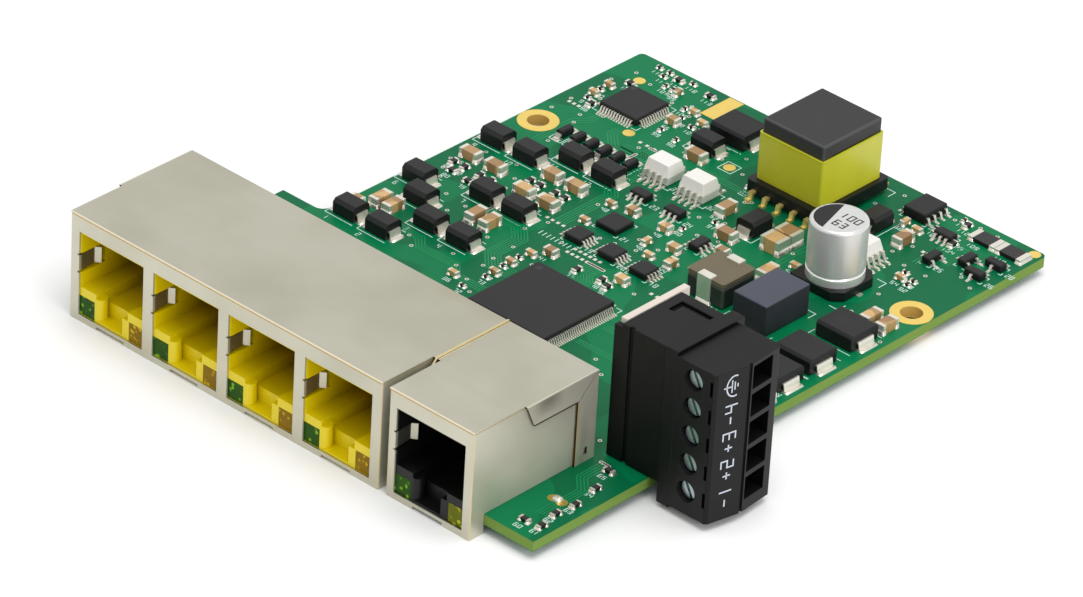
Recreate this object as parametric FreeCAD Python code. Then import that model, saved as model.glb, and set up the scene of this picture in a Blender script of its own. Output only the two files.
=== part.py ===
import FreeCAD, Part
import math
import os
from FreeCAD import Vector

# Unenclosed Ethernet switch board. Millimetres, +Z up.
# Design frame: x runs along the jack faces from the port bank's left side, y runs from the jack faces
# into the board, z = 0 is the board's top face. save() moves it to the row's origin: the middle
# of the two screw holes, on the board's underside.

# ---- circuit board
BOARD_THICK = 1.6
BOARD_RIGHT = 82.5
BOARD_FRONT = 2.7
BOARD_BACK = 105.5
BOARD_LEFT_FRONT = 0.2
BOARD_LEFT_REAR = 7.8
NOTCH_Y = 40.6
NOTCH_RADIUS = 1.6
BOARD_CORNER_RADIUS = 0.8
SCREW_HOLE_RADIUS = 1.6
SCREW_LAND_RADIUS = 3.0
SCREW_HOLE_Y = 80.4
LEFT_HOLE_INSET = 3.1
RIGHT_HOLE_INSET = 3.0
LAND_THICK = 0.05
DOT_RADIUS = 0.9
EDGE_STRIP_X = 24.8
EDGE_STRIP_WIDTH = 2.6
EDGE_STRIP_LENGTH = 6.6
SHEET_GAP = 0.05

# ---- modular jacks
JACK_TOP = 13.4
JACK_DEPTH = 22.8
JACK_LIP = 3.0
PORT_PITCH = 13.97
PORT_COUNT = 4
BANK_WIDTH = 58.27
JACK_SPACING = 0.4
UPLINK_WIDTH = 15.73
SHIELD_SHEET = 0.25
SHIELD_CLEAR = 0.05
FLAP_CLEAR = 0.22
FLAP_SEAM = 0.12
OPENING_WIDTH = 12.1
OPENING_TOP = 10.85
OPENING_BOTTOM = -2.0
LIP_NOTCH_WIDTH = 5.2
LIP_NOTCH_DEPTH = 0.5
PLUG_CAVITY_WIDTH = 11.8
PLUG_CAVITY_DEPTH = 14.2
PLUG_CAVITY_FLOOR = 2.2
PLUG_CAVITY_ROOF = 10.5
LATCH_WALL = 0.25
LATCH_FLOOR = 0.6
LATCH_DEPTH = 11.5
LATCH_MOUTH_FLOOR = -1.7
HOUSING_BACK_WALL = 0.35
LED_WIDTH = 2.8
LED_LAP_SHARE = 0.21
LED_HEIGHT = 2.8
LED_DEPTH = 1.6
LED_RECESS = 0.33
STOP_RADIUS = 0.95
STOP_TOP = 1.5
STEP_WIDTH = 1.0
STEP_DEPTH = 1.5
STEP_TOP = 0.9
TAB_LOW = 4.7
TAB_HEIGHT = 2.4
TAB_SHEET = 0.2
TAB_REACH = 3.6
TAB_SETBACK = 0.45
TAB_BEND = 0.5
TAB_END = 0.75
TAB_SWING = 2.2
TAB_RELIEF = 0.3
TAB_WINDOW_DEPTH = 0.9
CONTACT_PITCH = 1.02
CONTACT_WIDTH = 0.5
CONTACT_THICK = 0.28
CONTACT_COUNT = 8
CONTACT_DROP = 3.3
CONTACT_ROOF_GAP = 0.25
CORE_WALL = 0.4
TAIL_RADIUS = 0.25
TAIL_HOLE_CLEAR = 0.15
TAIL_LENGTH = 1.0
TAIL_PITCH = 2.54
TAIL_ROW_Y = 16.2
FLANGE_DEPTH = 3.7
FLAP_HEIGHT = 3.5
FLAP_LENGTH = 13.5
FLAP_SLANT = 1.6
SPRING_SHEET = 0.3
SPRING_RISE = 0.2
SPRING_FRONT_Y = 7.4

# ---- pluggable terminal block: positions are stacked upwards
WAYS = 5
WAY_PITCH = 4.2
WAY_MID_Z = 10.05
PLUG_MID_Z = 9.5
PLUG_HEIGHT = 22.6
PLUG_FRONT_Y = 23.6
PLUG_DEPTH = 11.8
PLUG_FACE_LENGTH = 6.6
PLUG_BULGE = 1.0
LABEL_WIDTH = 5.2
PLUG_GROOVE = 0.25
PLUG_GROOVE_WIDTH = 0.6
ENTRY_SETBACK = 0.4
PLUG_CORNER = 0.4
PROBE_SLOT_X = 92.3
PROBE_SLOT_WIDTH = 0.5
PROBE_SLOT_HEIGHT = 2.2
PROBE_SLOT_DEPTH = 0.8
MOUTH_X = 86.6
HEADER_BODY_LENGTH = 10.2
HEADER_BODY_HEIGHT = 20.6
HEADER_SIDE_Y = 24.4
HEADER_BODY_DEPTH = 11.4
HEADER_WALL = 0.6
HEADER_RIB_WIDTH = 1.3
HEADER_GROOVE_WIDTH = 0.7
HEADER_GROOVE_DEPTH = 0.4
CHEEK_LAP = 0.3
CHEEK_DROP = 0.6
KEY_INSET = 1.6
KEY_LENGTH = 5.4
KEY_LINE = 0.9
KEY_DEPTH = 0.5
KEY_BACK_INSET = 2.6
FLANGE_THICK = 2.0
FLANGE_HEIGHT = 23.6
FLANGE_MARGIN = 0.7
FIT_CLEAR = 0.1
SCREW_X = 89.5
SCREW_HEAD_RADIUS = 1.4
SCREW_HEAD_HEIGHT = 1.2
SCREW_SINK = 0.7
SCREW_SHANK_RADIUS = 0.85
SCREW_TIP_GAP = 0.15
SLOT_WIDTH = 0.45
SLOT_DEPTH = 0.6
SHOULDER_THICK = 0.4
CAGE_TRAVEL = 1.8
CAGE_START = 0.2
CAGE_TOP_WALL = 0.7
CAGE_WALL = 0.45
CAGE_OUTER = 3.2
CAGE_LENGTH = 3.0
CAGE_MOUTH = 5.2
CHAMBER_CLEAR = 0.12
ENTRY_WIDTH = 4.0
BAR_THICK = 0.6
BAR_GAP = 0.4
BAR_WIDTH = 1.2
PIN_SIZE = 1.0
PIN_GRIP_GAP = 0.05
PIN_REACH = 7.4
PIN_TAIL = 0.8
RISER_THICK = 1.0
RISER_INSET = 1.0
RISER_EXTRA = 1.6
RISER_HEIGHT = 20.7
TONGUE_WIDTH = 2.6
TONGUE_INSET = 1.2
TONGUE_DROP = 0.5

# ---- transformer
TRANSFORMER_X = 50.3
TRANSFORMER_Y = 94.6
CORE_WIDTH = 11.0
CORE_DEPTH = 12.2
CORE_BASE_Z = 2.6
CORE_TOP_Z = 12.1
CORE_PLATE = 2.2
CORE_LEG = 1.6
CORE_POST_RADIUS = 1.9
TAPE_THICK = 0.3
BOBBIN_FLANGE = 0.6
BOBBIN_WALL = 0.5
BOBBIN_BASE_WIDTH = 13.2
BOBBIN_BASE_DEPTH = 15.0
BOBBIN_BASE_Z = 0.8
BOBBIN_BASE_THICK = 1.75
WINDING_CLEAR = 0.3
TRANSFORMER_PIN_COUNT = 5
TRANSFORMER_PIN_PITCH = 2.5
TRANSFORMER_PIN_WIDTH = 0.7
TRANSFORMER_PIN_SHEET = 0.4
TRANSFORMER_PIN_REACH = 1.6

# ---- electrolytic capacitor
CAN_X = 67.3
CAN_Y = 78.6
CAN_RADIUS = 4.1
CAN_TOP_Z = 10.2
CAN_BASE_SIZE = 8.6
CAN_BASE_THICK = 1.3
CAN_BASE_Z = 0.15
CAN_BEAD_Z = 2.9
CAN_BEAD_RADIUS = 0.35
CAN_EDGE = 0.5
CAN_LEAD_WIDTH = 0.9
CAN_LEAD_LENGTH = 2.6

# ---- flat-pack chips
SWITCH_X = 45.1
SWITCH_Y = 44.2
SWITCH_SIZE = 14.0
SWITCH_HEIGHT = 1.4
SWITCH_LEAD_COUNT = 32
SWITCH_PITCH = 0.4
CONTROLLER_X = 17.8
CONTROLLER_Y = 92.8
CONTROLLER_SIZE = 7.0
CONTROLLER_HEIGHT = 1.1
CONTROLLER_LEAD_COUNT = 12
CONTROLLER_PITCH = 0.5
CHIP_STANDOFF = 0.1
CHIP_EDGE = 0.15
LEAD_SHEET = 0.13
LEAD_REACH = 1.0
LEAD_FOOT = 0.45

# ---- inductors
CLIPPED_X = 58.6
CLIPPED_Y = 65.1
CLIPPED_SIZE = 6.6
CLIPPED_HEIGHT = 4.2
CLIP_WIDTH = 2.3
CLIP_SHEET = 0.25
CLIP_TOP_LAP = 1.1
CLIP_FOOT = 1.4
CAP_PLATE_THICK = 0.9
MOULDED_X = 67.3
MOULDED_Y = 65.4
MOULDED_WIDTH = 5.9
MOULDED_LENGTH = 9.0
MOULDED_HEIGHT = 4.6
MOULDED_TERMINAL = 2.4

# ---- diodes: body length (between leads), width, height, lead width, sloped shoulder
LARGE_DIODE = (6.6, 5.9, 2.3, 3.1, 0.4)
SMALL_DIODE = (4.3, 3.6, 2.2, 2.1, 0.5)
ROW_DIODE = (2.7, 1.6, 1.1, 0.9, 0.25)
DIODE_STANDOFF = 0.12
DIODE_LEAD_SHEET = 0.22
DIODE_LEAD_OUT = 0.75
DIODE_DRAFT = 0.18
ROW_DIODE_PITCH = 2.45
ROW_DIODE_COUNT = 6

# ---- optocouplers
OPTO_WIDTH = 4.5
OPTO_DEPTH = 3.6
OPTO_HEIGHT = 3.0
OPTO_WAIST = 1.35
OPTO_SLOPE = 0.4
OPTO_UNDERCUT = 0.2
OPTO_PITCH = 1.1
OPTO_LEAD_WIDTH = 0.42
OPTO_LEAD_SHEET = 0.25
OPTO_LEAD_REACH = 1.7
OPTO_LEAD_FOOT = 0.8

# ---- small chips: body along x and y, its height, leads a side, their pitch and width
MSOP = dict(x=3.0, y=3.0, height=0.95, count=4, pitch=0.65, lead=0.3)
SOIC = dict(x=3.9, y=4.9, height=1.5, count=4, pitch=1.27, lead=0.42)
SOT6 = dict(x=1.7, y=3.0, height=1.0, count=3, pitch=0.95, lead=0.4)
SOT3 = dict(x=1.4, y=2.9, height=1.0, count=2, pitch=1.9, lead=0.42)
QFN_SIZE = 3.8
QFN_HEIGHT = 0.85

# ---- two-ended chips: length, width, height, end length
CHIP_1210 = (3.3, 2.5, 2.1, 0.6)
CHIP_1206 = (3.2, 1.6, 1.4, 0.55)
CHIP_0805 = (2.0, 1.25, 1.0, 0.4)
CHIP_0603 = (1.6, 0.8, 0.7, 0.32)
SENSE_RESISTOR = (4.6, 2.5, 0.6, 0.85)
RESISTOR_0603 = (1.6, 0.8, 0.45, 0.32)
RESISTOR_0402 = (1.0, 0.5, 0.35, 0.22)

# Places on the board as (x, y, quarter turns): from its left and front edges of reference, and, for
# parts in the right-hand column, as the distance in from the right edge.
SMALL_DIODES = [(10.9, 56.5, 0), (14.9, 52.6, 0), (20.4, 48.8, 0), (26.5, 48.8, 0), (10.9, 42.9, 0),
                (17.0, 42.9, 0), (20.5, 59.8, 0), (26.5, 59.8, 0), (11.2, 71.9, 0), (17.3, 71.9, 0),
                (22.3, 75.9, 0), (28.4, 75.9, 0), (32.2, 92.3, 0), (50.9, 80.8, 1), (61.4, 94.0, 1)]
WIDE_DIODE_PLACE = (33.0, 97.9, 0)
LARGE_DIODE_INSET = 5.0
LARGE_DIODE_YS = [69.3, 60.9, 54.2]
ROW_DIODE_X = 16.1
ROW_DIODE_Y = 80.3
OPTOCOUPLERS = [(33.2, 82.0, 0), (39.7, 82.0, 0), (65.9, 86.0, 1)]
MSOP_PLACES = [(36.3, 61.3, 0), (42.4, 61.3, 0), (48.3, 61.2, 0)]
SOIC_PLACES = [(64.0, 101.5, 0)]
SOT6_PLACES = [(34.8, 75.6, 1), (41.0, 75.6, 1), (70.1, 98.6, 1), (48.9, 71.8, 0)]
SOT3_INSETS = [(6.2, 95.9, 0), (2.8, 97.8, 1), (3.2, 93.9, 1), (9.9, 92.8, 0)]
QFN_PLACES = [(37.4, 67.3, 0)]
CAPS_1210 = [(56.3, 81.7, 0), (56.3, 78.9, 0)]
CAPS_1206 = [(11.6, 48.0, 1), (14.0, 48.0, 1), (23.3, 54.6, 1), (25.9, 54.6, 1), (11.7, 65.9, 0),
             (16.4, 65.9, 0), (23.2, 70.2, 0), (27.6, 70.2, 0), (23.4, 64.2, 0), (27.8, 64.2, 0),
             (33.0, 88.9, 0), (45.3, 81.3, 1), (60.2, 73.0, 1), (49.9, 76.2, 0), (67.0, 93.3, 1)]
CAPS_1206_RIGHT = [(5.3, 74.7, 1), (2.6, 74.7, 1), (2.3, 49.4, 0), (15.3, 58.4, 0)]
CAPS_0805 = [(36.6, 55.4, 0), (36.9, 71.6, 0), (42.9, 71.6, 0), (52.3, 72.7, 0), (9.4, 45.7, 0),
             (24.2, 93.9, 0), (48.0, 57.2, 0), (30.6, 36.0, 0), (47.3, 68.5, 0), (49.6, 65.2, 1)]
CAPS_0603 = [(34.9, 53.3, 0), (34.5, 49.7, 0), (34.8, 46.2, 0), (31.3, 41.8, 0), (11.2, 91.7, 0),
             (11.2, 94.9, 0), (24.4, 98.1, 0), (19.2, 100.4, 1), (33.4, 71.0, 0), (33.9, 65.1, 0),
             (27.3, 96.6, 0), (43.3, 67.2, 1), (66.4, 97.0, 0), (63.9, 97.4, 1), (72.9, 85.9, 0),
             (61.3, 77.5, 0), (46.0, 64.8, 0), (38.6, 34.2, 0), (52.2, 33.6, 0), (20.0, 30.0, 0)]
RESISTORS_0603 = [(12.4, 61.4, 0), (15.9, 60.9, 0), (21.6, 67.3, 1), (23.4, 67.3, 1), (26.2, 67.3, 1),
                  (28.0, 67.3, 1), (10.9, 63.2, 1), (13.0, 63.2, 1), (15.9, 63.2, 1), (17.9, 63.2, 1),
                  (41.8, 54.9, 1), (45.9, 55.4, 1), (47.5, 54.7, 1), (22.9, 103.2, 0),
                  (16.9, 103.3, 0), (70.2, 103.2, 1), (72.0, 97.9, 1), (43.5, 88.6, 0),
                  (12.9, 89.1, 1), (12.9, 97.5, 0), (33.4, 34.4, 1), (35.0, 34.4, 1),
                  (14.0, 28.4, 0), (26.0, 31.0, 1), (57.5, 30.2, 0), (63.0, 31.8, 1)]
RESISTORS_0402 = [(34.3, 51.6, 0), (34.4, 48.3, 0), (34.7, 44.6, 0), (34.1, 40.6, 0), (11.0, 93.3, 0),
                  (11.4, 90.2, 0), (12.6, 104.0, 0), (14.6, 104.0, 0), (14.6, 102.6, 0),
                  (16.6, 100.7, 1), (18.0, 100.7, 1), (24.1, 95.7, 1), (22.7, 97.9, 1),
                  (26.8, 94.9, 0), (24.3, 91.2, 1), (27.6, 90.6, 1), (18.9, 104.1, 0),
                  (69.0, 104.0, 1), (67.7, 99.4, 1), (74.6, 86.6, 0), (74.6, 85.3, 0),
                  (72.4, 87.6, 0), (44.2, 73.6, 1), (46.2, 78.2, 0), (63.3, 73.2, 0)]
FRONT_CORNER_CHIPS = [(4.3, 21.6, 0), (2.7, 17.3, 1), (1.9, 12.6, 1), (2.2, 9.2, 1), (4.0, 5.4, 0),
                      (1.6, 5.9, 1)]
SENSE_RESISTOR_INSETS = [(7.9, 102.0), (3.2, 102.0)]
DOTS = [(13.0, 99.2), (21.8, 87.3), (37.6, 90.7), (81.2, 104.4)]

# ---- values that follow from the sizes above
ORIGIN = Vector((BOARD_LEFT_REAR + LEFT_HOLE_INSET + BOARD_RIGHT - RIGHT_HOLE_INSET) / 2,
                SCREW_HOLE_Y, -BOARD_THICK)
SCREW_HOLE_XS = [BOARD_LEFT_REAR + LEFT_HOLE_INSET, BOARD_RIGHT - RIGHT_HOLE_INSET]
LATCH_WIDTH = OPENING_WIDTH - 2 * (LED_WIDTH + LATCH_WALL)
LED_LAP = LED_LAP_SHARE * (PORT_PITCH - OPENING_WIDTH)
UPLINK_X = BANK_WIDTH + JACK_SPACING
BANK = dict(x=0.0, width=BANK_WIDTH, ports=PORT_COUNT)
UPLINK = dict(x=UPLINK_X, width=UPLINK_WIDTH, ports=1)
FRONT_LIMIT = BOARD_FRONT - SHEET_GAP
PLUG_LOW_Z = PLUG_MID_Z - PLUG_HEIGHT / 2
HEADER_X = MOUTH_X - HEADER_BODY_LENGTH
HEADER_BACK_Y = HEADER_SIDE_Y + HEADER_BODY_DEPTH
WAY_ZS = [WAY_MID_Z + (i - (WAYS - 1) / 2) * WAY_PITCH for i in range(WAYS)]
HEAD_FACE_Y = PLUG_FRONT_Y + SCREW_SINK
HEAD_BACK_Y = HEAD_FACE_Y + SCREW_HEAD_HEIGHT
CHAMBER_Y = HEAD_BACK_Y + SHOULDER_THICK
CAGE_Y = CHAMBER_Y + CAGE_START + CAGE_TRAVEL
BAR_Y = CAGE_Y + CAGE_TOP_WALL + BAR_GAP
CAGE_BACK_Y = CAGE_Y + CAGE_TOP_WALL + CAGE_MOUTH + CAGE_WALL
CHAMBER_BACK_Y = CAGE_BACK_Y + CHAMBER_CLEAR
ENTRY_Y = BAR_Y + BAR_THICK + 0.1
PIN_Y = BAR_Y + BAR_THICK + PIN_GRIP_GAP
RISER_X = HEADER_X - RISER_THICK - SHEET_GAP
RISER_Y = HEADER_SIDE_Y + RISER_INSET
RISER_WIDTH = HEADER_BODY_DEPTH - RISER_INSET + RISER_EXTRA
TONGUE_YS = [RISER_Y + TONGUE_INSET, RISER_Y + RISER_WIDTH - TONGUE_INSET - TONGUE_WIDTH]


def block(x, y, z, dx, dy, dz):
    return Part.makeBox(dx, dy, dz, Vector(x, y, z))


def centred(x, y, z, dx, dy, dz):
    return block(x - dx / 2, y - dy / 2, z, dx, dy, dz)


def rod(radius, length, at, axis=(0, 0, 1)):
    return Part.makeCylinder(radius, length, Vector(*at), Vector(*axis))


def prism(points, along):
    outline = Part.makePolygon([Vector(*p) for p in points] + [Vector(*points[0])])
    return Part.Face(outline).extrude(Vector(*along))


def upright_edges(shape):
    return [e for e in shape.Edges if abs(e.tangentAt(e.FirstParameter).z) > 0.999]


def level_edges(shape, z):
    return [e for e in shape.Edges if all(abs(v.Z - z) < 1e-6 for v in e.Vertexes)]


def rounded_block(x, y, z, dx, dy, dz, radius, top_radius=0.0):
    solid = block(x, y, z, dx, dy, dz)
    solid = solid.makeFillet(radius, upright_edges(solid))
    return solid.makeFillet(top_radius, level_edges(solid, z + dz)) if top_radius else solid


def soft_block(x, y, z, dx, dy, dz, edge):
    solid = centred(x, y, z, dx, dy, dz)
    return solid.makeChamfer(edge, level_edges(solid, z + dz) + upright_edges(solid))


def placed(shape, x, y, quarter_turns=0, z=0.0):
    copy = shape.copy()
    copy.rotate(Vector(), Vector(0, 0, 1), 90 * quarter_turns)
    copy.translate(Vector(x, y, z))
    return copy


def from_right(places):
    return [(BOARD_RIGHT - place[0],) + tuple(place[1:]) for place in places]


def save(name, solids):
    solids = solids if isinstance(solids, list) else [solids]
    flat = [s for solid in solids for s in solid.Solids]
    shape = flat[0] if len(flat) == 1 else Part.makeCompound(flat)
    shape.translate(ORIGIN.negative())
    shape.exportStep("parts/" + name + ".step")


# ---- circuit board and its gold lands

def tail_places(jack):
    """Solder tail positions of one jack: two staggered rows per port."""
    places = []
    for centre in port_centres(jack):
        for i in range(CONTACT_COUNT):
            x = centre + (i - (CONTACT_COUNT - 1) / 2) * TAIL_PITCH / 2
            places.append((x, TAIL_ROW_Y + TAIL_PITCH * (i % 2)))
    return places


def board_outline():
    corner = BOARD_CORNER_RADIUS
    turn = NOTCH_RADIUS
    diag = math.sqrt(0.5)
    left, right, back = BOARD_LEFT_REAR, BOARD_RIGHT, BOARD_BACK

    def at(x, y):
        return Vector(x, y, -BOARD_THICK)

    def arc(a, b, c):
        return Part.Arc(at(*a), at(*b), at(*c)).toShape()

    def line(a, b):
        return Part.makeLine(at(*a), at(*b))

    return Part.Wire([
        line((BOARD_LEFT_FRONT, BOARD_FRONT), (right, BOARD_FRONT)),
        line((right, BOARD_FRONT), (right, back - corner)),
        arc((right, back - corner), (right - corner * (1 - diag), back - corner * (1 - diag)),
            (right - corner, back)),
        line((right - corner, back), (left + corner, back)),
        arc((left + corner, back), (left + corner * (1 - diag), back - corner * (1 - diag)),
            (left, back - corner)),
        line((left, back - corner), (left, NOTCH_Y + turn)),
        arc((left, NOTCH_Y + turn), (left - turn * (1 - diag), NOTCH_Y + turn * (1 - diag)),
            (left - turn, NOTCH_Y)),
        line((left - turn, NOTCH_Y), (BOARD_LEFT_FRONT, NOTCH_Y)),
        line((BOARD_LEFT_FRONT, NOTCH_Y), (BOARD_LEFT_FRONT, BOARD_FRONT)),
    ])


def circuit_board():
    board = Part.Face(board_outline()).extrude(Vector(0, 0, BOARD_THICK))
    holes = [rod(SCREW_HOLE_RADIUS, BOARD_THICK, (x, SCREW_HOLE_Y, -BOARD_THICK)) for x in SCREW_HOLE_XS]
    for x, y in tail_places(BANK) + tail_places(UPLINK):
        holes.append(rod(TAIL_RADIUS + TAIL_HOLE_CLEAR, BOARD_THICK, (x, y, -BOARD_THICK)))
    for y in TONGUE_YS:
        holes.append(block(RISER_X - FIT_CLEAR, y - FIT_CLEAR, -BOARD_THICK, RISER_THICK + 2 * FIT_CLEAR,
                           TONGUE_WIDTH + 2 * FIT_CLEAR, BOARD_THICK))
    return board.cut(holes)


def gold_lands():
    lands = []
    for x in SCREW_HOLE_XS:
        for z in (0.0, -BOARD_THICK - LAND_THICK):
            disc = rod(SCREW_LAND_RADIUS, LAND_THICK, (x, SCREW_HOLE_Y, z))
            lands.append(disc.cut(rod(SCREW_HOLE_RADIUS, LAND_THICK, (x, SCREW_HOLE_Y, z))))
    lands += [rod(DOT_RADIUS, LAND_THICK, (x, y, 0)) for x, y in DOTS]
    strip_y = BOARD_BACK - EDGE_STRIP_LENGTH
    lands.append(block(EDGE_STRIP_X, strip_y, 0, EDGE_STRIP_WIDTH, EDGE_STRIP_LENGTH - 0.2, LAND_THICK))
    return lands


# ---- modular jacks

def port_centres(jack):
    middle = jack["x"] + jack["width"] / 2
    return [middle + (i - (jack["ports"] - 1) / 2) * PORT_PITCH for i in range(jack["ports"])]


def opening_lefts(jack):
    return [centre - OPENING_WIDTH / 2 for centre in port_centres(jack)]


def jack_front_shield(jack):
    """Folded front sheet: front plate with an opening per port, and two sides."""
    x, width, sheet = jack["x"], jack["width"], SHIELD_SHEET
    inset = sheet + SHIELD_CLEAR
    x0, x1 = x + sheet + FLAP_CLEAR, x + width - sheet - FLAP_CLEAR
    depth = JACK_DEPTH - inset
    top = JACK_TOP - inset
    outer = block(x0, 0, SHEET_GAP, x1 - x0, depth, top - SHEET_GAP)
    outer = outer.fuse(block(x0, 0, -JACK_LIP, x1 - x0, FRONT_LIMIT, JACK_LIP + 1)).removeSplitter()
    front_corners = [e for e in upright_edges(outer) if all(abs(v.Y) < 1e-6 for v in e.Vertexes)]
    outer = outer.makeFillet(sheet, front_corners)
    cuts = [block(x0 + sheet, sheet, -JACK_LIP - 1, x1 - x0 - 2 * sheet, JACK_DEPTH, JACK_TOP + JACK_LIP + 2)]
    height = OPENING_TOP - OPENING_BOTTOM
    for centre, left in zip(port_centres(jack), opening_lefts(jack)):
        cuts.append(block(left, -1, OPENING_BOTTOM, OPENING_WIDTH, 2, height))
        cuts.append(centred(centre, 0, -JACK_LIP - 1, LIP_NOTCH_WIDTH, 2, 1 + LIP_NOTCH_DEPTH))
        for z in (TAB_LOW - TAB_RELIEF, TAB_LOW + TAB_HEIGHT):
            cuts.append(block(left - TAB_RELIEF, -1, z, 2 * TAB_RELIEF, 2, TAB_RELIEF))
    shield = outer.cut(cuts)
    for left in opening_lefts(jack):
        shield = shield.fuse(shield_tab(left))
    return shield.removeSplitter()


def shield_tab(left):
    """Grounding tab folded back from an opening's left edge, its tip bent into the cavity."""
    bend_y = SHIELD_SHEET + TAB_REACH - TAB_END
    tip_y = SHIELD_SHEET + TAB_REACH
    bend_x = left - TAB_SETBACK
    side = [(left - TAB_SHEET, SHIELD_SHEET), (left, SHIELD_SHEET), (bend_x + TAB_SHEET, bend_y),
            (left + TAB_BEND, tip_y - TAB_SHEET), (left + TAB_BEND - TAB_SHEET / 2, tip_y),
            (bend_x, bend_y + TAB_SHEET / 2)]
    return prism([(px, py, TAB_LOW) for px, py in side], (0, 0, TAB_HEIGHT))


def jack_cover(jack):
    """Top plate folded down at the back, with a flap and a rear flange lapping each side."""
    x, width, sheet = jack["x"], jack["width"], SHIELD_SHEET
    back = JACK_DEPTH
    low = JACK_TOP - FLAP_HEIGHT
    cover = block(x, 0, JACK_TOP - sheet, width, back, sheet)
    cover = cover.fuse(block(x, back - sheet, SHEET_GAP, width, sheet, JACK_TOP - SHEET_GAP))
    side = [(x, back, SHEET_GAP), (x, back, JACK_TOP), (x, back - FLAP_LENGTH, JACK_TOP),
            (x, back - FLAP_LENGTH + FLAP_SLANT, low), (x, back - FLANGE_DEPTH, low),
            (x, back - FLANGE_DEPTH, SHEET_GAP)]
    near_side = prism(side, (sheet, 0, 0))
    far_side = near_side.copy()
    far_side.translate(Vector(width - sheet, 0, 0))
    cover = cover.fuse([near_side, far_side]).removeSplitter()
    side_strip = block(x - 1, -1, low - 1, sheet + FLAP_CLEAR + 1, back - FLAP_LENGTH + 1, JACK_TOP)
    far_strip = side_strip.copy()
    far_strip.translate(Vector(width - sheet - FLAP_CLEAR + 1, 0, 0))
    window = block(x - 1, back - FLANGE_DEPTH / 2 - 0.3, 1.2, width + 2, 0.7, 1.1)
    return cover.cut([side_strip, far_strip, window] + flap_seams(jack))


def flap_seams(jack):
    """Slanted slits between the flap folded from the top and the flange folded from the back."""
    x, width, sheet = jack["x"], jack["width"], SHIELD_SHEET
    back = JACK_DEPTH - sheet
    foot_y, foot_z = JACK_DEPTH - FLANGE_DEPTH, JACK_TOP - FLAP_HEIGHT
    side = [(back, JACK_TOP - sheet), (back - FLAP_SEAM, JACK_TOP - sheet),
            (foot_y - FLAP_SEAM, foot_z - FLAP_SEAM), (foot_y, foot_z - FLAP_SEAM)]
    reach = sheet + FLAP_CLEAR / 2
    return [prism([(left, py, pz) for py, pz in side], (reach, 0, 0)) for left in (x, x + width - reach)]


def jack_space(jack):
    """Room inside the shield as (x, width, front y, back y, top z)."""
    inset = 2 * SHIELD_SHEET + FLAP_CLEAR + SHIELD_CLEAR
    back = JACK_DEPTH - SHIELD_SHEET - SHIELD_CLEAR
    return (jack["x"] + inset, jack["width"] - 2 * inset, SHIELD_SHEET + SHIELD_CLEAR, back,
            JACK_TOP - SHIELD_SHEET - SHIELD_CLEAR)


def led_xs(centre):
    """Left edges of a port's two lamp pockets, which run on behind the front plate."""
    return centre - OPENING_WIDTH / 2 - LED_LAP, centre + OPENING_WIDTH / 2 - LED_WIDTH


def latch_stops(centre, front):
    """Half-round post on the left of the latch mouth and a square step on its right."""
    left, right = centre - LATCH_WIDTH / 2, centre + LATCH_WIDTH / 2
    at = (left, front + STOP_RADIUS, LATCH_MOUTH_FLOOR)
    post = rod(STOP_RADIUS, STOP_TOP - LATCH_MOUTH_FLOOR, at)
    post = post.cut(block(left - 2 * STOP_RADIUS, front - 1, LATCH_MOUTH_FLOOR - 1, 2 * STOP_RADIUS,
                          2 * STOP_RADIUS + 2, STOP_TOP - LATCH_MOUTH_FLOOR + 2))
    step = block(right - STEP_WIDTH, front, LATCH_MOUTH_FLOOR, STEP_WIDTH, STEP_DEPTH,
                 STEP_TOP - LATCH_MOUTH_FLOOR)
    return [post, step]


def jack_housing(jack):
    """Moulded housing: per port a plug cavity, a latch channel, a tab window and two lamp pockets."""
    x, width, front, back, top = jack_space(jack)
    core_y = front + PLUG_CAVITY_DEPTH
    body = block(x, front, SHEET_GAP, width, core_y - front, top - SHEET_GAP)
    low = -JACK_LIP + SHIELD_SHEET
    body = body.fuse(block(x, front, low, width, FRONT_LIMIT - front, SHEET_GAP - low)).removeSplitter()
    pocket = FRONT_LIMIT - HOUSING_BACK_WALL
    cuts = []
    for centre, left in zip(port_centres(jack), opening_lefts(jack)):
        cavity_height = PLUG_CAVITY_ROOF - PLUG_CAVITY_FLOOR
        cuts.append(centred(centre, 0, PLUG_CAVITY_FLOOR, PLUG_CAVITY_WIDTH, 2 * core_y, cavity_height))
        channel_height = PLUG_CAVITY_FLOOR - LATCH_FLOOR + 0.1
        cuts.append(centred(centre, 0, LATCH_FLOOR, LATCH_WIDTH, 2 * LATCH_DEPTH, channel_height))
        mouth_height = LATCH_FLOOR - LATCH_MOUTH_FLOOR + 0.1
        cuts.append(centred(centre, 0, LATCH_MOUTH_FLOOR, LATCH_WIDTH, 2 * pocket, mouth_height))
        cuts.append(block(left - TAB_WINDOW_DEPTH, -1, TAB_LOW - TAB_RELIEF,
                          TAB_WINDOW_DEPTH + TAB_BEND + 0.2, TAB_REACH + TAB_SWING, TAB_HEIGHT + 2 * TAB_RELIEF))
        for led_x in led_xs(centre):
            cuts.append(block(led_x, -1, OPENING_BOTTOM, LED_WIDTH + LED_LAP, 1 + pocket,
                              LED_HEIGHT + 2 * SHEET_GAP))
    body = body.cut(cuts)
    for centre in port_centres(jack):
        body = body.fuse(latch_stops(centre, front))
    return body.removeSplitter()


def jack_leds(jack, right_side):
    """One lamp per port, standing in the left or the right pocket."""
    lamps = []
    for centre in port_centres(jack):
        x = led_xs(centre)[right_side] + SHEET_GAP
        lamps.append(block(x, LED_RECESS, OPENING_BOTTOM + SHEET_GAP, LED_WIDTH + LED_LAP - 2 * SHEET_GAP,
                           LED_DEPTH, LED_HEIGHT))
    return lamps


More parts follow.
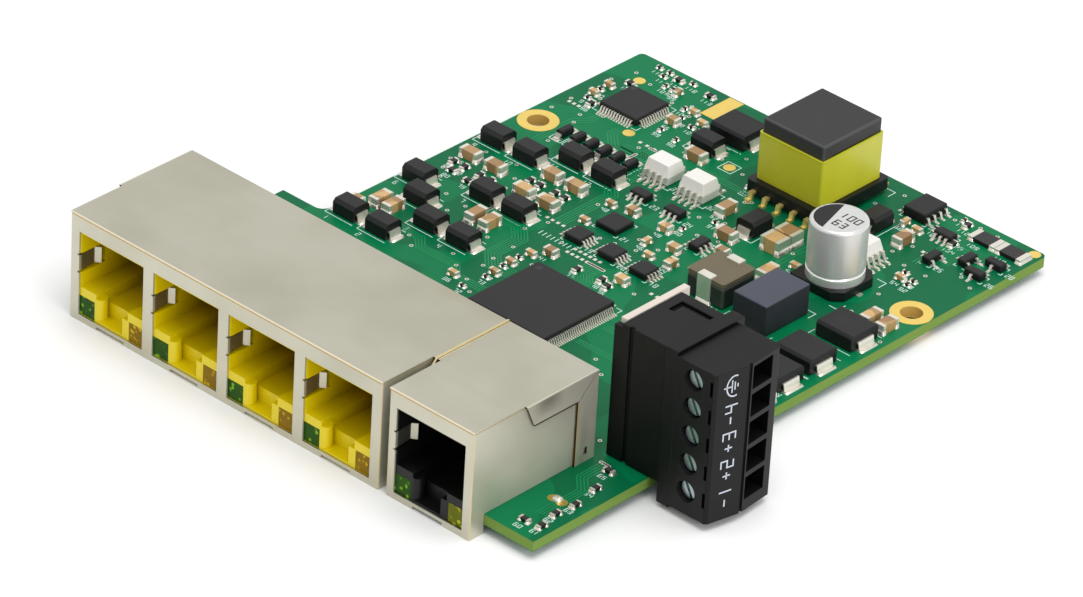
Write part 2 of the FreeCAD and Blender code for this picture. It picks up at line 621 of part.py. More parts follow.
def jack_core(jack):
    """Block behind the plug cavities that carries the contacts and the magnetics."""
    x, width, front, back, top = jack_space(jack)
    y = front + PLUG_CAVITY_DEPTH + SHEET_GAP
    return block(x, y, SHEET_GAP + CORE_WALL, width, back - y, top - SHEET_GAP - CORE_WALL)


def jack_contacts(jack):
    """Spring wires: each leaves the core under the cavity roof, turns and slopes back down."""
    x, width, front, back, top = jack_space(jack)
    rear = front + PLUG_CAVITY_DEPTH
    roof = PLUG_CAVITY_ROOF - CONTACT_ROOF_GAP
    thick = CONTACT_THICK
    nose = front + PLUG_CAVITY_DEPTH * 0.35
    tip_y = front + PLUG_CAVITY_DEPTH * 0.78
    tip_z = PLUG_CAVITY_ROOF - CONTACT_DROP
    wires = []
    for centre in port_centres(jack):
        for i in range(CONTACT_COUNT):
            wire_x = centre + (i - (CONTACT_COUNT - 1) / 2) * CONTACT_PITCH - CONTACT_WIDTH / 2
            side = [(wire_x, rear, roof), (wire_x, nose, roof), (wire_x, nose - thick, roof - thick),
                    (wire_x, nose, roof - 2 * thick), (wire_x, tip_y, tip_z),
                    (wire_x, tip_y, tip_z + thick), (wire_x, nose + 3 * thick, roof - thick),
                    (wire_x, rear, roof - thick)]
            wires.append(prism(side, (CONTACT_WIDTH, 0, 0)))
    return wires


def jack_tails():
    """Solder tails from the core blocks down through the board."""
    length = TAIL_LENGTH + BOARD_THICK + SHEET_GAP + CORE_WALL
    places = tail_places(BANK) + tail_places(UPLINK)
    return [rod(TAIL_RADIUS, length, (x, y, -BOARD_THICK - TAIL_LENGTH)) for x, y in places]


def grounding_spring():
    """Thin finger strip standing in the slit between the two jacks."""
    x = BANK_WIDTH + (JACK_SPACING - SPRING_SHEET) / 2
    top = JACK_TOP + SPRING_RISE
    low = SHEET_GAP
    strip = block(x, SPRING_FRONT_Y, low, SPRING_SHEET, JACK_DEPTH - SPRING_FRONT_Y, top - low)
    nose = [e for e in strip.Edges if all(abs(v.Y - SPRING_FRONT_Y) < 1e-6 and abs(v.Z - top) < 1e-6
                                          for v in e.Vertexes)]
    return strip.makeChamfer(2.0, nose)


def build_jack(jack, name, lamp_names):
    save(name + "_front_shield", jack_front_shield(jack))
    save(name + "_cover", jack_cover(jack))
    save(name + "_housing", jack_housing(jack))
    save(name + "_contacts", jack_contacts(jack))
    save(name + "_core", jack_core(jack))
    save(lamp_names[0], jack_leds(jack, 0))
    save(lamp_names[1], jack_leds(jack, 1))


# ---- pluggable terminal block

def terminal_header():
    """Header body and mouth flange, open towards +x, with a slot row for the pins."""
    low = SHEET_GAP
    body = block(HEADER_X, HEADER_SIDE_Y, low, HEADER_BODY_LENGTH, HEADER_BODY_DEPTH, HEADER_BODY_HEIGHT)
    flange_low = PLUG_MID_Z - FLANGE_HEIGHT / 2
    flange = block(MOUTH_X - FLANGE_THICK, HEADER_SIDE_Y - FLANGE_MARGIN, flange_low, FLANGE_THICK,
                   HEADER_BODY_DEPTH + 2 * FLANGE_MARGIN, FLANGE_HEIGHT)
    body = body.fuse(flange).removeSplitter()
    cavity = block(HEADER_X + HEADER_WALL, HEADER_SIDE_Y + HEADER_WALL, low + HEADER_WALL,
                   HEADER_BODY_LENGTH, HEADER_BODY_DEPTH - 2 * HEADER_WALL,
                   HEADER_BODY_HEIGHT - 2 * HEADER_WALL)
    key_y = HEADER_BACK_Y - KEY_BACK_INSET
    top = low + HEADER_BODY_HEIGHT
    key = block(HEADER_X + KEY_INSET, key_y, top - KEY_DEPTH, KEY_LENGTH, KEY_LINE, 1).fuse(
        block(HEADER_X + KEY_INSET, key_y - 2 * KEY_LINE, top - KEY_DEPTH, KEY_LINE, 2 * KEY_LINE, 1))
    pins = [block(HEADER_X - 1, PIN_Y, z - PIN_SIZE / 2, HEADER_WALL + 2, PIN_SIZE, PIN_SIZE) for z in WAY_ZS]
    groove = block(HEADER_X + HEADER_RIB_WIDTH, HEADER_SIDE_Y - 1, low - 1, HEADER_GROOVE_WIDTH,
                   1 + HEADER_GROOVE_DEPTH, HEADER_BODY_HEIGHT + 2)
    cheek_x = RISER_X - CHEEK_LAP
    cheek = block(cheek_x, HEADER_SIDE_Y, low, HEADER_X - cheek_x, RISER_INSET - SHEET_GAP,
                  HEADER_BODY_HEIGHT - CHEEK_DROP)
    return body.cut([cavity, key, groove] + pins).fuse(cheek).removeSplitter()


def header_pins():
    """Straight square pins through the header's back wall and the riser board."""
    start = RISER_X - PIN_TAIL
    length = HEADER_X + PIN_REACH - start
    return [block(start, PIN_Y, z - PIN_SIZE / 2, length, PIN_SIZE, PIN_SIZE) for z in WAY_ZS]


def riser_board():
    """Small upright board that carries the header and stands in two slots of the main board."""
    plate = block(RISER_X, RISER_Y, SHEET_GAP, RISER_THICK, RISER_WIDTH, RISER_HEIGHT)
    depth = BOARD_THICK + TONGUE_DROP + SHEET_GAP
    for y in TONGUE_YS:
        plate = plate.fuse(block(RISER_X, y, SHEET_GAP - depth, RISER_THICK, TONGUE_WIDTH, depth))
    plate = plate.removeSplitter()
    holes = [block(RISER_X - 1, PIN_Y, z - PIN_SIZE / 2, RISER_THICK + 2, PIN_SIZE, PIN_SIZE)
             for z in WAY_ZS]
    return plate.cut(holes)


def plug_body():
    """Plug: tongue that fills the header, body with screw bores, cage chambers and wire entries."""
    x0 = MOUTH_X + SHEET_GAP
    front, back = PLUG_FRONT_Y, PLUG_FRONT_Y + PLUG_DEPTH
    face_x = x0 + PLUG_FACE_LENGTH
    ridge_x, ridge_y = face_x + PLUG_BULGE, front + LABEL_WIDTH
    groove_x, groove_end = ridge_x - PLUG_GROOVE, ridge_y + PLUG_GROOVE_WIDTH
    rear_x, corner = ridge_x - ENTRY_SETBACK, PLUG_CORNER
    outline = [(x0, front), (face_x - corner, front), (face_x, front + corner), (ridge_x, ridge_y),
               (groove_x, ridge_y), (groove_x, groove_end), (ridge_x, groove_end), (rear_x, back - corner),
               (rear_x - corner, back), (x0, back)]
    body = prism([(px, py, PLUG_LOW_Z) for px, py in outline], (0, 0, PLUG_HEIGHT))
    tongue_x = HEADER_X + HEADER_WALL + FIT_CLEAR
    inset = HEADER_WALL + FIT_CLEAR
    tongue_low = SHEET_GAP + inset
    tongue = block(tongue_x, HEADER_SIDE_Y + inset, tongue_low, x0 - tongue_x + 0.1,
                   HEADER_BODY_DEPTH - 2 * inset, HEADER_BODY_HEIGHT - 2 * inset)
    body = body.fuse(tongue).removeSplitter()
    cuts = []
    for z in WAY_ZS:
        cuts.append(rod(SCREW_HEAD_RADIUS + CHAMBER_CLEAR, HEAD_BACK_Y - front + 1,
                        (SCREW_X, front - 1, z), (0, 1, 0)))
        cuts.append(rod(SCREW_SHANK_RADIUS + CHAMBER_CLEAR, CHAMBER_Y - front, (SCREW_X, front, z),
                        (0, 1, 0)))
        half = CAGE_OUTER / 2 + CHAMBER_CLEAR
        chamber_x = SCREW_X - CAGE_LENGTH / 2 - CHAMBER_CLEAR
        cuts.append(block(chamber_x, CHAMBER_Y, z - half, CAGE_LENGTH + 2 * CHAMBER_CLEAR,
                          CHAMBER_BACK_Y - CHAMBER_Y, 2 * half))
        cuts.append(block(SCREW_X, ENTRY_Y, z - half, ridge_x, ENTRY_WIDTH, 2 * half))
        cuts.append(block(PROBE_SLOT_X, front - 1, z - PROBE_SLOT_HEIGHT / 2, PROBE_SLOT_WIDTH,
                          1 + PROBE_SLOT_DEPTH, PROBE_SLOT_HEIGHT))
        grip = BAR_THICK + PIN_SIZE + PIN_GRIP_GAP + FIT_CLEAR
        pin_length = HEADER_X + PIN_REACH + FIT_CLEAR - tongue_x
        cuts.append(block(tongue_x, BAR_Y - SHEET_GAP, z - BAR_WIDTH / 2 - SHEET_GAP, pin_length, grip,
                          BAR_WIDTH + 2 * SHEET_GAP))
        cuts.append(block(tongue_x, BAR_Y, z - BAR_WIDTH / 2, SCREW_X + CAGE_LENGTH / 2 + 0.5 - tongue_x,
                          BAR_THICK, BAR_WIDTH))
    return body.cut(cuts)


def contact_bars():
    """Flat bars from the pin sockets through the cages."""
    x = HEADER_X + HEADER_WALL + 2 * FIT_CLEAR
    length = SCREW_X + CAGE_LENGTH / 2 + 0.5 - x
    return [block(x, BAR_Y, z - BAR_WIDTH / 2, length, BAR_THICK, BAR_WIDTH) for z in WAY_ZS]


def clamp_screw(z):
    """Slotted screw whose head faces -y, at rest fully backed off."""
    head = rod(SCREW_HEAD_RADIUS, SCREW_HEAD_HEIGHT, (SCREW_X, HEAD_FACE_Y, z), (0, 1, 0))
    head = head.makeChamfer(0.15, [e for e in head.Edges
                                   if all(abs(v.Y - HEAD_FACE_Y) < 1e-6 for v in e.Vertexes)])
    shank = rod(SCREW_SHANK_RADIUS, BAR_Y - SCREW_TIP_GAP - HEAD_BACK_Y, (SCREW_X, HEAD_BACK_Y, z), (0, 1, 0))
    slot = block(SCREW_X - 2 * SCREW_HEAD_RADIUS, HEAD_FACE_Y - 1, z - SLOT_WIDTH / 2, 4 * SCREW_HEAD_RADIUS,
                 1 + SLOT_DEPTH, SLOT_WIDTH)
    slot.rotate(Vector(SCREW_X, 0, z), Vector(0, 1, 0), 62)
    return head.fuse(shank).removeSplitter().cut(slot)


def clamp_cage(z):
    """Square sleeve that the screw draws up against the contact bar."""
    x = SCREW_X - CAGE_LENGTH / 2
    half = CAGE_OUTER / 2
    depth = CAGE_BACK_Y - CAGE_Y
    cage = block(x, CAGE_Y, z - half, CAGE_LENGTH, depth, CAGE_OUTER)
    window = block(x - 1, CAGE_Y + CAGE_TOP_WALL, z - half + CAGE_WALL, CAGE_LENGTH + 2, CAGE_MOUTH,
                   CAGE_OUTER - 2 * CAGE_WALL)
    bore = rod(SCREW_SHANK_RADIUS + SHEET_GAP, CAGE_TOP_WALL + 1, (SCREW_X, CAGE_Y - 0.5, z), (0, 1, 0))
    return cage.cut(window).cut(bore)


def build_terminal_block():
    save("terminal_header", terminal_header())
    save("header_pins", header_pins())
    save("riser_board", riser_board())
    save("plug_body", plug_body())
    save("contact_bars", contact_bars())
    for i, z in enumerate(WAY_ZS, 1):
        save("clamp_screw_%d" % i, clamp_screw(z))
        save("clamp_cage_%d" % i, clamp_cage(z))


# ---- transformer

def transformer_core():
    """Two ferrite halves: an E below and an E above, meeting at mid height."""
    middle = (CORE_BASE_Z + CORE_TOP_Z) / 2
    halves = []
    for plate_z, leg_z in ((CORE_BASE_Z, CORE_BASE_Z), (CORE_TOP_Z - CORE_PLATE, middle)):
        height = middle - CORE_BASE_Z
        half = centred(TRANSFORMER_X, TRANSFORMER_Y, plate_z, CORE_WIDTH, CORE_DEPTH, CORE_PLATE)
        for side in (-1, 1):
            y = TRANSFORMER_Y + side * (CORE_DEPTH - CORE_LEG) / 2
            half = half.fuse(centred(TRANSFORMER_X, y, leg_z, CORE_WIDTH, CORE_LEG, height))
        half = half.fuse(rod(CORE_POST_RADIUS, height, (TRANSFORMER_X, TRANSFORMER_Y, leg_z)))
        halves.append(half.removeSplitter())
    return halves


def transformer_bobbin():
    """Spool on the core's post, and the pinned base under the core."""
    low, high = CORE_BASE_Z + CORE_PLATE, CORE_TOP_Z - CORE_PLATE
    inner = CORE_POST_RADIUS + SHEET_GAP
    flange_depth = CORE_DEPTH - 2 * CORE_LEG - 2 * SHEET_GAP
    gap = SHEET_GAP
    spool = rod(inner + BOBBIN_WALL, high - low - 2 * gap, (TRANSFORMER_X, TRANSFORMER_Y, low + gap))
    for z in (low + gap, high - gap - BOBBIN_FLANGE):
        spool = spool.fuse(centred(TRANSFORMER_X, TRANSFORMER_Y, z, CORE_WIDTH, flange_depth, BOBBIN_FLANGE))
    spool = spool.removeSplitter().cut(rod(inner, CORE_TOP_Z, (TRANSFORMER_X, TRANSFORMER_Y, 0)))
    base = centred(TRANSFORMER_X, TRANSFORMER_Y, BOBBIN_BASE_Z, BOBBIN_BASE_WIDTH, BOBBIN_BASE_DEPTH,
                   BOBBIN_BASE_THICK)
    return [spool, base.makeFillet(0.5, upright_edges(base))]


def transformer_winding():
    low = CORE_BASE_Z + CORE_PLATE + BOBBIN_FLANGE + 2 * SHEET_GAP
    high = CORE_TOP_Z - CORE_PLATE - BOBBIN_FLANGE - 2 * SHEET_GAP
    inner = CORE_POST_RADIUS + BOBBIN_WALL + 2 * SHEET_GAP
    outer = CORE_DEPTH / 2 - CORE_LEG - WINDING_CLEAR
    at = (TRANSFORMER_X, TRANSFORMER_Y, low)
    return rod(outer, high - low, at).cut(rod(inner, high - low, at))


def transformer_tape():
    """Yellow tape wrapped round the sides of the joined core."""
    top = CORE_TOP_Z - CORE_PLATE
    inner_x, inner_y = CORE_WIDTH + 2 * SHEET_GAP, CORE_DEPTH + 2 * SHEET_GAP
    wrap = centred(TRANSFORMER_X, TRANSFORMER_Y, CORE_BASE_Z, inner_x + 2 * TAPE_THICK,
                   inner_y + 2 * TAPE_THICK, top - CORE_BASE_Z)
    wrap = wrap.makeFillet(0.45, upright_edges(wrap))
    return wrap.cut(centred(TRANSFORMER_X, TRANSFORMER_Y, 0, inner_x, inner_y, CORE_TOP_Z))


def transformer_pins():
    """Flat pins leaving both long sides of the base and bending down to the board."""
    pins = []
    out = TRANSFORMER_PIN_REACH
    sheet = TRANSFORMER_PIN_SHEET
    height = BOBBIN_BASE_Z + 0.5
    side = [(0, 0, height), (0, out / 2, height), (0, out / 2 + 0.2, sheet), (0, out, sheet),
            (0, out, 0), (0, out / 2 - 0.2, 0), (0, out / 2 - 0.4, height - sheet), (0, 0, height - sheet)]
    pin = prism(side, (TRANSFORMER_PIN_WIDTH, 0, 0))
    pin.translate(Vector(-TRANSFORMER_PIN_WIDTH / 2, BOBBIN_BASE_DEPTH / 2, 0))
    for turns in (0, 2):
        for i in range(TRANSFORMER_PIN_COUNT):
            shift = (i - (TRANSFORMER_PIN_COUNT - 1) / 2) * TRANSFORMER_PIN_PITCH
            pins.append(placed(pin, TRANSFORMER_X + shift, TRANSFORMER_Y, turns))
    return pins


def build_transformer():
    save("transformer_core", transformer_core())
    save("transformer_bobbin", transformer_bobbin())
    save("transformer_winding", transformer_winding())
    save("transformer_tape", transformer_tape())
    save("transformer_pins", transformer_pins())


# ---- electrolytic capacitor

def capacitor_can():
    low = CAN_BASE_Z + CAN_BASE_THICK
    can = rod(CAN_RADIUS, CAN_TOP_Z - low, (CAN_X, CAN_Y, low))
    can = can.makeFillet(CAN_EDGE, [e for e in can.Edges if abs(e.CenterOfMass.z - CAN_TOP_Z) < 1e-6])
    bead = Part.makeTorus(CAN_RADIUS + CAN_BEAD_RADIUS / 2, CAN_BEAD_RADIUS, Vector(CAN_X, CAN_Y, CAN_BEAD_Z))
    return can.cut(bead)


def capacitor_base():
    base = centred(CAN_X, CAN_Y, CAN_BASE_Z, CAN_BASE_SIZE, CAN_BASE_SIZE, CAN_BASE_THICK)
    corners = [e for e in upright_edges(base) if e.Vertexes[0].X > CAN_X]
    return base.makeChamfer(1.4, corners)


def capacitor_leads():
    lead = block(-CAN_LEAD_LENGTH, -CAN_LEAD_WIDTH / 2, 0, CAN_LEAD_LENGTH, CAN_LEAD_WIDTH, CAN_BASE_Z)
    lead.translate(Vector(CAN_BASE_SIZE / 2 + 0.5, 0, 0))
    return [placed(lead, CAN_X, CAN_Y, turns) for turns in (0, 2)]


# ---- leads and small packages

def gull_lead(width, rise, reach, foot, sheet):
    """Lead starting at x = 0 at the given height, reaching out along +x to a flat foot."""
    shoulder = (reach - foot) * 0.45
    side = [(0, 0, rise + sheet), (shoulder + sheet * 0.4, 0, rise + sheet),
            (reach - foot + sheet * 0.4, 0, sheet), (reach, 0, sheet), (reach, 0, 0),
            (reach - foot, 0, 0), (shoulder, 0, rise), (0, 0, rise)]
    lead = prism(side, (0, width, 0))
    lead.translate(Vector(0, -width / 2, 0))
    return lead


def lead_row(lead, half_span, count, pitch):
    return [placed(lead, half_span, (i - (count - 1) / 2) * pitch) for i in range(count)]


def quad_leads(x, y, size, height, count, pitch):
    lead = gull_lead(pitch * 0.5, CHIP_STANDOFF + height / 2, LEAD_REACH, LEAD_FOOT, LEAD_SHEET)
    row = lead_row(lead, size / 2, count, pitch)
    return [placed(one, x, y, turns) for turns in range(4) for one in row]


def two_row_leads(package):
    rise = CHIP_STANDOFF + package["height"] / 2
    lead = gull_lead(package["lead"], rise, LEAD_REACH, LEAD_FOOT, LEAD_SHEET)
    return lead_row(lead, package["x"] / 2, package["count"], package["pitch"])


def small_chip_places():
    groups = [(MSOP, MSOP_PLACES), (SOIC, SOIC_PLACES), (SOT6, SOT6_PLACES)]
    return groups + [(SOT3, from_right(SOT3_INSETS))]


def small_chips():
    bodies = []
    for package, places in small_chip_places():
        body = soft_block(0, 0, CHIP_STANDOFF, package["x"], package["y"], package["height"], CHIP_EDGE)
        bodies += [placed(body, *place) for place in places]
    body = soft_block(0, 0, SHEET_GAP, QFN_SIZE, QFN_SIZE, QFN_HEIGHT, CHIP_EDGE)
    return bodies + [placed(body, *place) for place in QFN_PLACES]


def small_chip_leads():
    leads = []
    for package, places in small_chip_places():
        row = two_row_leads(package)
        single = [placed(row[0], 0, package["pitch"] / 2)] if package is SOT3 else row
        for x, y, turns in places:
            leads += [placed(one, x, y, turns) for one in row]
            leads += [placed(placed(one, 0, 0, 2), x, y, turns) for one in single]
    return leads


def diode_body(kind):
    length, width, height, _, shoulder = kind
    draft = DIODE_DRAFT
    half = [(-length / 2 + draft, -width / 2 + draft, DIODE_STANDOFF),
            (length / 2 - draft, -width / 2 + draft, DIODE_STANDOFF),
            (length / 2 - draft, width / 2 - draft, DIODE_STANDOFF),
            (-length / 2 + draft, width / 2 - draft, DIODE_STANDOFF)]
    body = prism(half, (0, 0, height))
    top = level_edges(body, DIODE_STANDOFF + height)
    return body.makeChamfer(shoulder, [e for e in top if abs(e.tangentAt(e.FirstParameter).x) > 0.999])


def diode_lead(kind):
    """Flat strap leaving the end of the body at mid height, folded down and outwards."""
    length, _, height, lead_width, _ = kind
    reach = DIODE_LEAD_OUT + DIODE_DRAFT
    lead = gull_lead(lead_width, height * 0.45, reach, reach * 0.62, DIODE_LEAD_SHEET)
    lead.translate(Vector(length / 2 - DIODE_DRAFT, 0, 0))
    return lead


def large_diode_places():
    return [(BOARD_RIGHT - LARGE_DIODE_INSET, y, 0) for y in LARGE_DIODE_YS] + [WIDE_DIODE_PLACE]


def row_diode_places():
    return [(ROW_DIODE_X + i * ROW_DIODE_PITCH, ROW_DIODE_Y, 1) for i in range(ROW_DIODE_COUNT)]


def build_diodes():
    kinds = [(LARGE_DIODE, large_diode_places()), (SMALL_DIODE, SMALL_DIODES),
             (ROW_DIODE, row_diode_places())]
    large, small, row = [[placed(diode_body(kind), *place) for place in places] for kind, places in kinds]
    leads = []
    for kind, places in kinds:
        lead = diode_lead(kind)
        for x, y, turns in places:
            leads += [placed(placed(lead, 0, 0, end), x, y, turns) for end in (0, 2)]
    save("large_diodes", large)
    save("small_diodes", small + row)
    save("diode_leads", leads)


def flat_frame(width, depth, z):
    corners = [Vector(x * width / 2, y * depth / 2, z) for x, y in ((-1, -1), (1, -1), (1, 1), (-1, 1))]
    return Part.makePolygon(corners + corners[:1])


def optocouplers():
    """Bodies that are widest at the leads and slope in above and below them."""
    low, top = CHIP_STANDOFF, CHIP_STANDOFF + OPTO_HEIGHT
    waist = flat_frame(OPTO_WIDTH, OPTO_DEPTH, OPTO_WAIST + CHIP_STANDOFF)
    under = flat_frame(OPTO_WIDTH - 2 * OPTO_UNDERCUT, OPTO_DEPTH - 2 * OPTO_UNDERCUT, low)
    over = flat_frame(OPTO_WIDTH - 2 * OPTO_SLOPE, OPTO_DEPTH - 2 * OPTO_SLOPE, top)
    body = Part.makeLoft([under, waist], True, True).fuse(Part.makeLoft([waist, over], True, True))
    return [placed(body, *place) for place in OPTOCOUPLERS]


def optocoupler_leads():
    rise = CHIP_STANDOFF + OPTO_WAIST - OPTO_LEAD_SHEET / 2
    lead = gull_lead(OPTO_LEAD_WIDTH, rise, OPTO_LEAD_REACH,
                     OPTO_LEAD_FOOT, OPTO_LEAD_SHEET)
    row = [placed(one, 0, 0, 1) for one in lead_row(lead, OPTO_DEPTH / 2, 4, OPTO_PITCH)]
    return [placed(placed(one, 0, 0, end), *place) for place in OPTOCOUPLERS for end in (0, 2)
            for one in row]


def chip_middle(kind):
    length, width, height, end = kind
    return centred(0, 0, SHEET_GAP, length - 2 * end, width, height)


def chip_ends(kind):
    length, width, height, end = kind
    cap = block(length / 2 - end, -width / 2, 0, end, width, height + SHEET_GAP)
    return [cap, placed(cap, 0, 0, 2)]


def ceramic_groups():
    return [(CHIP_1210, CAPS_1210), (CHIP_1206, CAPS_1206 + from_right(CAPS_1206_RIGHT)),
            (CHIP_0805, CAPS_0805), (CHIP_0603, CAPS_0603)]


def resistor_groups():
    wide = [(BOARD_RIGHT - x, y, 0) for x, y in SENSE_RESISTOR_INSETS]
    return [(SENSE_RESISTOR, wide), (RESISTOR_0603, RESISTORS_0603 + from_right(FRONT_CORNER_CHIPS)),
            (RESISTOR_0402, RESISTORS_0402)]


def build_two_ended(name, ends_name, groups):
    middles, ends = [], []
    for kind, places in groups:
        for place in places:
            middles.append(placed(chip_middle(kind), *place))
            ends += [placed(end, *place) for end in chip_ends(kind)]
    save(name, middles)
    save(ends_name, ends)


# ---- power inductors

def clipped_inductor():
    """Shielded coil body between two clips: pale cap plate on a dark core."""
    body = soft_block(CLIPPED_X, CLIPPED_Y, CLIP_SHEET, CLIPPED_SIZE, CLIPPED_SIZE,
                      CLIPPED_HEIGHT - CLIP_SHEET - CAP_PLATE_THICK, 0.3)
    plate = rounded_block(CLIPPED_X - CLIPPED_SIZE / 2, CLIPPED_Y - CLIPPED_SIZE / 2,
                          CLIPPED_HEIGHT - CAP_PLATE_THICK, CLIPPED_SIZE, CLIPPED_SIZE,
                          CAP_PLATE_THICK - CLIP_SHEET, 0.5)
    return body, plate


def inductor_clips():
    """Two straps that lap the top and fold under the coil body."""
    half = CLIPPED_SIZE / 2 + SHEET_GAP
    sheet, top = CLIP_SHEET, CLIPPED_HEIGHT
    side = [(half - CLIP_FOOT, 0, 0), (half + sheet, 0, 0), (half + sheet, 0, top),
            (half - CLIP_TOP_LAP, 0, top), (half - CLIP_TOP_LAP, 0, top - sheet), (half, 0, top - sheet),
            (half, 0, sheet - SHEET_GAP), (half - CLIP_FOOT, 0, sheet - SHEET_GAP)]
    strap = prism(side, (0, CLIP_WIDTH, 0))
    strap.translate(Vector(0, -CLIP_WIDTH / 2, 0))
    return [placed(strap, CLIPPED_X, CLIPPED_Y, turns) for turns in (1, 3)]


def moulded_inductor():
    solid = centred(MOULDED_X, MOULDED_Y, SHEET_GAP + DIODE_STANDOFF, MOULDED_WIDTH, MOULDED_LENGTH,
                    MOULDED_HEIGHT)
    return solid.makeFillet(0.25, level_edges(solid, SHEET_GAP + DIODE_STANDOFF + MOULDED_HEIGHT) +
                            upright_edges(solid))


def inductor_terminals():
    half = MOULDED_LENGTH / 2
    pad = block(half - 1.5, -MOULDED_TERMINAL / 2, 0, 2.0, MOULDED_TERMINAL, DIODE_STANDOFF)
    return [placed(pad, MOULDED_X, MOULDED_Y, turns) for turns in (1, 3)]


def build_board_parts():
    save("switch_chip", soft_block(SWITCH_X, SWITCH_Y, CHIP_STANDOFF, SWITCH_SIZE, SWITCH_SIZE,
                                   SWITCH_HEIGHT, CHIP_EDGE))
    save("switch_chip_leads", quad_leads(SWITCH_X, SWITCH_Y, SWITCH_SIZE, SWITCH_HEIGHT, SWITCH_LEAD_COUNT,
                                         SWITCH_PITCH))
    save("controller_chip", soft_block(CONTROLLER_X, CONTROLLER_Y, CHIP_STANDOFF, CONTROLLER_SIZE,
                                       CONTROLLER_SIZE, CONTROLLER_HEIGHT, CHIP_EDGE))
    save("controller_chip_leads", quad_leads(CONTROLLER_X, CONTROLLER_Y, CONTROLLER_SIZE,
                                             CONTROLLER_HEIGHT, CONTROLLER_LEAD_COUNT, CONTROLLER_PITCH))
    save("small_chips", small_chips())
    save("small_chip_leads", small_chip_leads() + optocoupler_leads())
    save("optocouplers", optocouplers())
    core, plate = clipped_inductor()
    save("clipped_inductor_core", core)
    save("clipped_inductor_cap", plate)
    save("clipped_inductor_clips", inductor_clips())
    save("moulded_inductor", moulded_inductor())
    save("moulded_inductor_terminals", inductor_terminals())
    save("capacitor_can", capacitor_can())
    save("capacitor_base", capacitor_base())
    save("capacitor_leads", capacitor_leads())
    build_two_ended("ceramic_capacitors", "ceramic_capacitor_ends", ceramic_groups())
    build_two_ended("chip_resistors", "chip_resistor_ends", resistor_groups())


def main():
    os.makedirs("parts", exist_ok=True)
    save("circuit_board", circuit_board())
    save("gold_lands", gold_lands())
    build_jack(BANK, "port_bank", ("port_bank_green_lamps", "port_bank_amber_lamps"))
    build_jack(UPLINK, "uplink", ("uplink_green_lamp", "uplink_yellow_lamp"))
    save("jack_tails", jack_tails())
    save("grounding_spring", grounding_spring())
    build_terminal_block()
    build_transformer()
    build_diodes()
    build_board_parts()


main()
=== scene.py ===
import math
import random

import bpy
import numpy as np
from bpy.props import FloatProperty, FloatVectorProperty, IntProperty, PointerProperty
from mathutils import Matrix, Vector


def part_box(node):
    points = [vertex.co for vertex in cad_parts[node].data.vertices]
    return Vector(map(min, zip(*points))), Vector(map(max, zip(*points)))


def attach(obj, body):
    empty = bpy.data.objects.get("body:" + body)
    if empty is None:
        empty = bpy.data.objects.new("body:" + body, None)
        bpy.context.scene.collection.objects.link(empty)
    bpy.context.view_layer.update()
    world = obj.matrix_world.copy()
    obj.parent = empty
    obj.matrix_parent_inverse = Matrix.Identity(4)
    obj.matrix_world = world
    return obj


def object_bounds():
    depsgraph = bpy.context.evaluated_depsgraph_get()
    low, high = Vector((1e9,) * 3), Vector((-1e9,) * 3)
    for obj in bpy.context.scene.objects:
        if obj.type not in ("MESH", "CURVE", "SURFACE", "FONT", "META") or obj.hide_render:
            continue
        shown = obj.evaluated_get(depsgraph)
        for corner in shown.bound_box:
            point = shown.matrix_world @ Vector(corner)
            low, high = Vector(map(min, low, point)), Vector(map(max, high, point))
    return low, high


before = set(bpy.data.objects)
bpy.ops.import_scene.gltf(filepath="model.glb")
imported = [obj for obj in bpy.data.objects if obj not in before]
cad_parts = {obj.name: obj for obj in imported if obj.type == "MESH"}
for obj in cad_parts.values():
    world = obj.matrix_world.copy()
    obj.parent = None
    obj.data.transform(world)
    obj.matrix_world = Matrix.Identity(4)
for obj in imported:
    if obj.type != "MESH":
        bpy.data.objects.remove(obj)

bl_info = {
    "name": "Bare network switch board",
    "version": (1, 0, 0),
    "blender": (4, 5, 0),
    "location": "3D view > sidebar > Switch board",
    "description": "Finishes, solder, tracks, printed marks and studio for a bare network switch board",
    "category": "Object",
}

CAD_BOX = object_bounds()
MM = 0.001
BODY = "board_assembly"


def on(*numbers):
    """Millimetres as a vector in metres."""
    return Vector(numbers) * MM


def ink(red, green, blue):
    """A colour as it is seen on a screen, 0 to 255, as linear light."""
    def linear(c):
        c /= 255
        return c / 12.92 if c <= 0.04045 else ((c + 0.055) / 1.055) ** 2.4
    return tuple(linear(c) for c in (red, green, blue))


# ---- what the frame says

BOARD_LOW, BOARD_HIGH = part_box("circuit_board")
BOARD_TOP = BOARD_HIGH.z
FAR_X, FAR_Y = 82.5, 105.5   # the board's far right corner, in the millimetres that spot takes
WAYS = range(1, 6)


def solids(node):
    """Lowest and highest corner of each separate solid in a CAD node, front ones first."""
    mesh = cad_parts[node].data
    points = np.empty(len(mesh.vertices) * 3)
    mesh.vertices.foreach_get("co", points)
    points = points.reshape(-1, 3)
    near = np.round(points / (0.001 * MM)).astype(int)
    _, shared = np.unique(near, axis=0, return_inverse=True)
    shared = shared.ravel()
    ends = np.empty(len(mesh.edges) * 2, int)
    mesh.edges.foreach_get("vertices", ends)
    one, other = shared[ends.reshape(-1, 2)].T
    owner = np.arange(shared.max() + 1)
    settled = False
    while not settled:
        least = np.minimum(owner[one], owner[other])
        new = owner.copy()
        np.minimum.at(new, one, least)
        np.minimum.at(new, other, least)
        new = new[new]
        settled = bool((new == owner).all())
        owner = new
    found = []
    for label in np.unique(owner):
        own = points[owner[shared] == label]
        found.append((Vector(own.min(0)), Vector(own.max(0))))
    return sorted(found, key=lambda pair: (round(pair[0].y, 5), round(pair[0].x, 5)))


def spot(x, y):
    """A place on the board's top, in millimetres across and back from the socket row's front corner."""
    return Vector((BOARD_HIGH.x + (x - FAR_X) * MM, BOARD_HIGH.y + (y - FAR_Y) * MM, BOARD_TOP))


